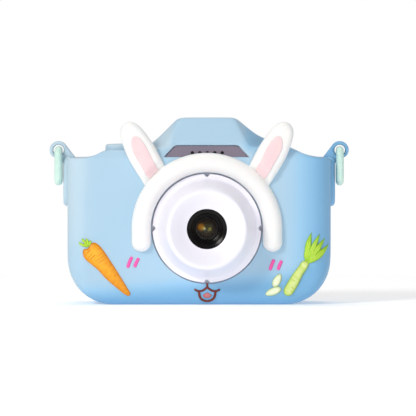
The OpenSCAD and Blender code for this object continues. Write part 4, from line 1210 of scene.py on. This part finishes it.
screen = {"x": (-14, 36), "z": (10, 47), "corner": 3, "spineX": (8, 14), "spineZ": 28.5, "backY": 21.1,
          "thick": 1.2, "edge": 0.45}
outline = evenSteps(roundedBox(*screen["x"], *screen["z"], screen["corner"], 12), 240, closed=True)
spine = np.column_stack([np.clip(outline[:, 0], *screen["spineX"]), np.full(240, screen["spineZ"])])
grid, faces = plateSkin(outline, spine, plateLayers(screen["thick"], 0.0, screen["edge"]))
makePiece("screenPlate", np.stack([grid[..., 0], screen["backY"] + grid[..., 2], grid[..., 1]], -1), faces,
          finish["screen"], "screen_plastic", ["screen_window"])
print("button, keys and screen made")


link = {"x": 52.4, "y": 4.0, "top": 57.2, "low": 45.4, "half": 4.2, "bend": 2.4, "rod": 1.4}


def linkSkin(side):
    # round rod carried round a closed ring with round corners in the Y-Z plane
    g = link
    line = roundedBox(g["y"] - g["half"], g["y"] + g["half"], g["low"], g["top"], g["bend"], 14)
    line = evenSteps(line, 150, closed=True)
    n = outward(line)
    t = np.linspace(0, 2 * math.pi, 33)[:-1]
    flat = line[:, None] + n[:, None] * (g["rod"] * np.cos(t))[None, :, None]
    x = np.broadcast_to(side * g["x"] + g["rod"] * np.sin(t)[None], flat.shape[:2])
    return np.stack([x, flat[..., 0], flat[..., 1]], -1), gridFaces(150, 32, closeRows=True)


for side, word in ((1, "right"), (-1, "left")):
    makePiece(word + "StrapLink", *linkSkin(side), finish["mint"], "mint_plastic",
              ["strap_link_" + word], body=word + "_link")
print("strap links made")


nodesByFinish = {
    "shell": ["front_shell", "rear_shell", "shutter_plunger"], "grille": ["speaker_grille"],
    "steel": ["shell_screws", "microphone", "usb_socket", "card_socket", "key_switches"],
    "lens": ["rear_lens"], "chip": ["image_sensor", "processor_chip", "memory_chip"],
    "board": ["sensor_board", "main_board", "key_board"], "ribbon": ["sensor_ribbon", "lcd_ribbon"],
    "foil": ["battery"], "wire": ["battery_leads"], "display": ["lcd_panel"], "screen": ["selfie_window"],
    "black": ["speaker", "memory_card", "shutter_switch", "selfie_camera"],
}
nodeFinish = {name: finish[look] for look, names in nodesByFinish.items() for name in names}
# CAD nodes seen from outside: a merged copy of each gets softened edges, as moulded and pressed parts
# have: the bevel's width in mm, the new piece's name, its slot and its body
softEdged = {"rear_shell": (0.3, "rearShell", "shell_plastic", "camera"),
             "speaker_grille": (0.15, "speakerGrille", "grille_plastic", "camera"),
             "shell_screws": (0.12, "shellScrews", "steel", "camera"),
             "usb_socket": (0.12, "usbSocket", "steel", "camera"),
             "memory_card": (0.1, "memoryCard", "black_plastic", "card")}
crease = math.radians(32)
for name, (width, word, slot, body) in softEdged.items():
    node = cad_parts[name]
    shape = bmesh.new()
    shape.from_mesh(node.data)
    shape.transform(node.matrix_world)
    bmesh.ops.remove_doubles(shape, verts=shape.verts, dist=0.004 * mm)
    bmesh.ops.dissolve_degenerate(shape, dist=0.004 * mm, edges=shape.edges)
    for edge in shape.edges:
        edge.smooth = len(edge.link_faces) == 2 and edge.calc_face_angle(math.pi) < crease
    for face in shape.faces:
        face.smooth = True
    mesh = bpy.data.meshes.new(word)
    shape.to_mesh(mesh)
    shape.free()
    mesh.materials.append(nodeFinish[name])
    piece = bpy.data.objects.new(word, mesh)
    scene.collection.objects.link(piece)
    bevel = piece.modifiers.new("edges", "BEVEL")
    bevel.width, bevel.segments, bevel.limit_method = width * mm, 2, "ANGLE"
    bevel.angle_limit, bevel.use_clamp_overlap, bevel.harden_normals = crease, True, True
    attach(piece, body)
    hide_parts(name)
for name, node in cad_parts.items():
    if name in nodeFinish and name not in softEdged:
        if not node.material_slots:
            node.data.materials.append(nodeFinish[name])
        for place in node.material_slots:
            place.material = nodeFinish[name]


# each light: its place and size in metres, and its power in watts; the floor is in metres too
studio = {"ambient": 0.43, "backdrop": 1.0, "floorGlow": 0.28, "floorX": 0.7, "floorY": (-0.7, 0.25),
          "key": ((-0.8, -1.0, 0.75), (0.35, 0.35), 9.7), "fill": ((0.55, -1.3, 0.2), (0.4, 0.4), 2.6),
          "top": ((0.0, 0.3, 1.0), (0.5, 0.5), 2.0)}


def floorFinish():
    # matt painted board, with the faintest mottling
    m, tree, place = newMaterial("mattPaintedBoard")
    return surfaced(m, {"IOR": 1.45, "Roughness": 0.8, "Specular IOR Level": 0.2,
                        "Emission Strength": studio["floorGlow"], "Emission Color": (1, 1, 1, 1)},
                    {"Base Color": driftingTone(tree, place, "#fbfbfb", "#f7f7f8", 90)})


floorMesh = bpy.data.meshes.new("floor")
floorX, (floorNear, floorFar) = studio["floorX"], studio["floorY"]
floorMesh.from_pydata([(-floorX, floorNear, 0), (floorX, floorNear, 0), (floorX, floorFar, 0),
                       (-floorX, floorFar, 0)], [], [(0, 1, 2, 3)])
floorMesh.materials.append(floorFinish())
floor = bpy.data.objects.new("floor", floorMesh)
scene.collection.objects.link(floor)

world = bpy.data.worlds.new("studio")
world.use_nodes = True
sky = world.node_tree
sky.nodes.clear()
# a white backdrop that lights the object more softly than it looks
seen = addNode(sky, "ShaderNodeLightPath").outputs["Is Camera Ray"]
strength = addNode(sky, "ShaderNodeMapRange", {3: studio["ambient"], 4: studio["backdrop"]}, {0: seen})
light = addNode(sky, "ShaderNodeBackground", {"Color": tone("#ffffff")},
                {"Strength": strength.outputs[0]})
addNode(sky, "ShaderNodeOutputWorld", {}, {"Surface": light.outputs[0]})
scene.world = world


def aimAt(obj, target):
    # turns a light or camera, which look along their own -Z, towards a point
    direction = target - obj.location
    obj.rotation_euler = direction.to_track_quat("-Z", "Y").to_euler()


def softLight(name, place, size, power, colour="#ffffff"):
    # a rectangular soft box that looks at the middle of the object
    data = bpy.data.lights.new(name, "AREA")
    data.shape, data.size, data.size_y = "RECTANGLE", size[0], size[1]
    data.energy, data.color = power, tone(colour)[:3]
    lamp = bpy.data.objects.new(name, data)
    scene.collection.objects.link(lamp)
    lamp.location = place
    aimAt(lamp, Vector((0.0, 0.0, 0.035)))


softLight("keyLight", *studio["key"], "#fffdf8")
softLight("fillLight", *studio["fill"], "#f2f6ff")
softLight("topLight", *studio["top"])

camera = {"x": 3.3, "z": 35.9, "distance": 1.6, "frameWidth": 153.9, "rise": 1.5}
data = bpy.data.cameras.new("camera")
data.sensor_width = 36
data.lens = 36 * camera["distance"] / (camera["frameWidth"] * mm)
data.clip_end = 20
eye = bpy.data.objects.new("camera", data)
scene.collection.objects.link(eye)
target = Vector((camera["x"] * mm, cover["frontY"] * mm, camera["z"] * mm))
rise = math.radians(camera["rise"])
eye.location = target + Vector((0, -math.cos(rise), math.sin(rise))) * camera["distance"]
aimAt(eye, target)
scene.camera = eye
scene.view_settings.view_transform = "Standard"
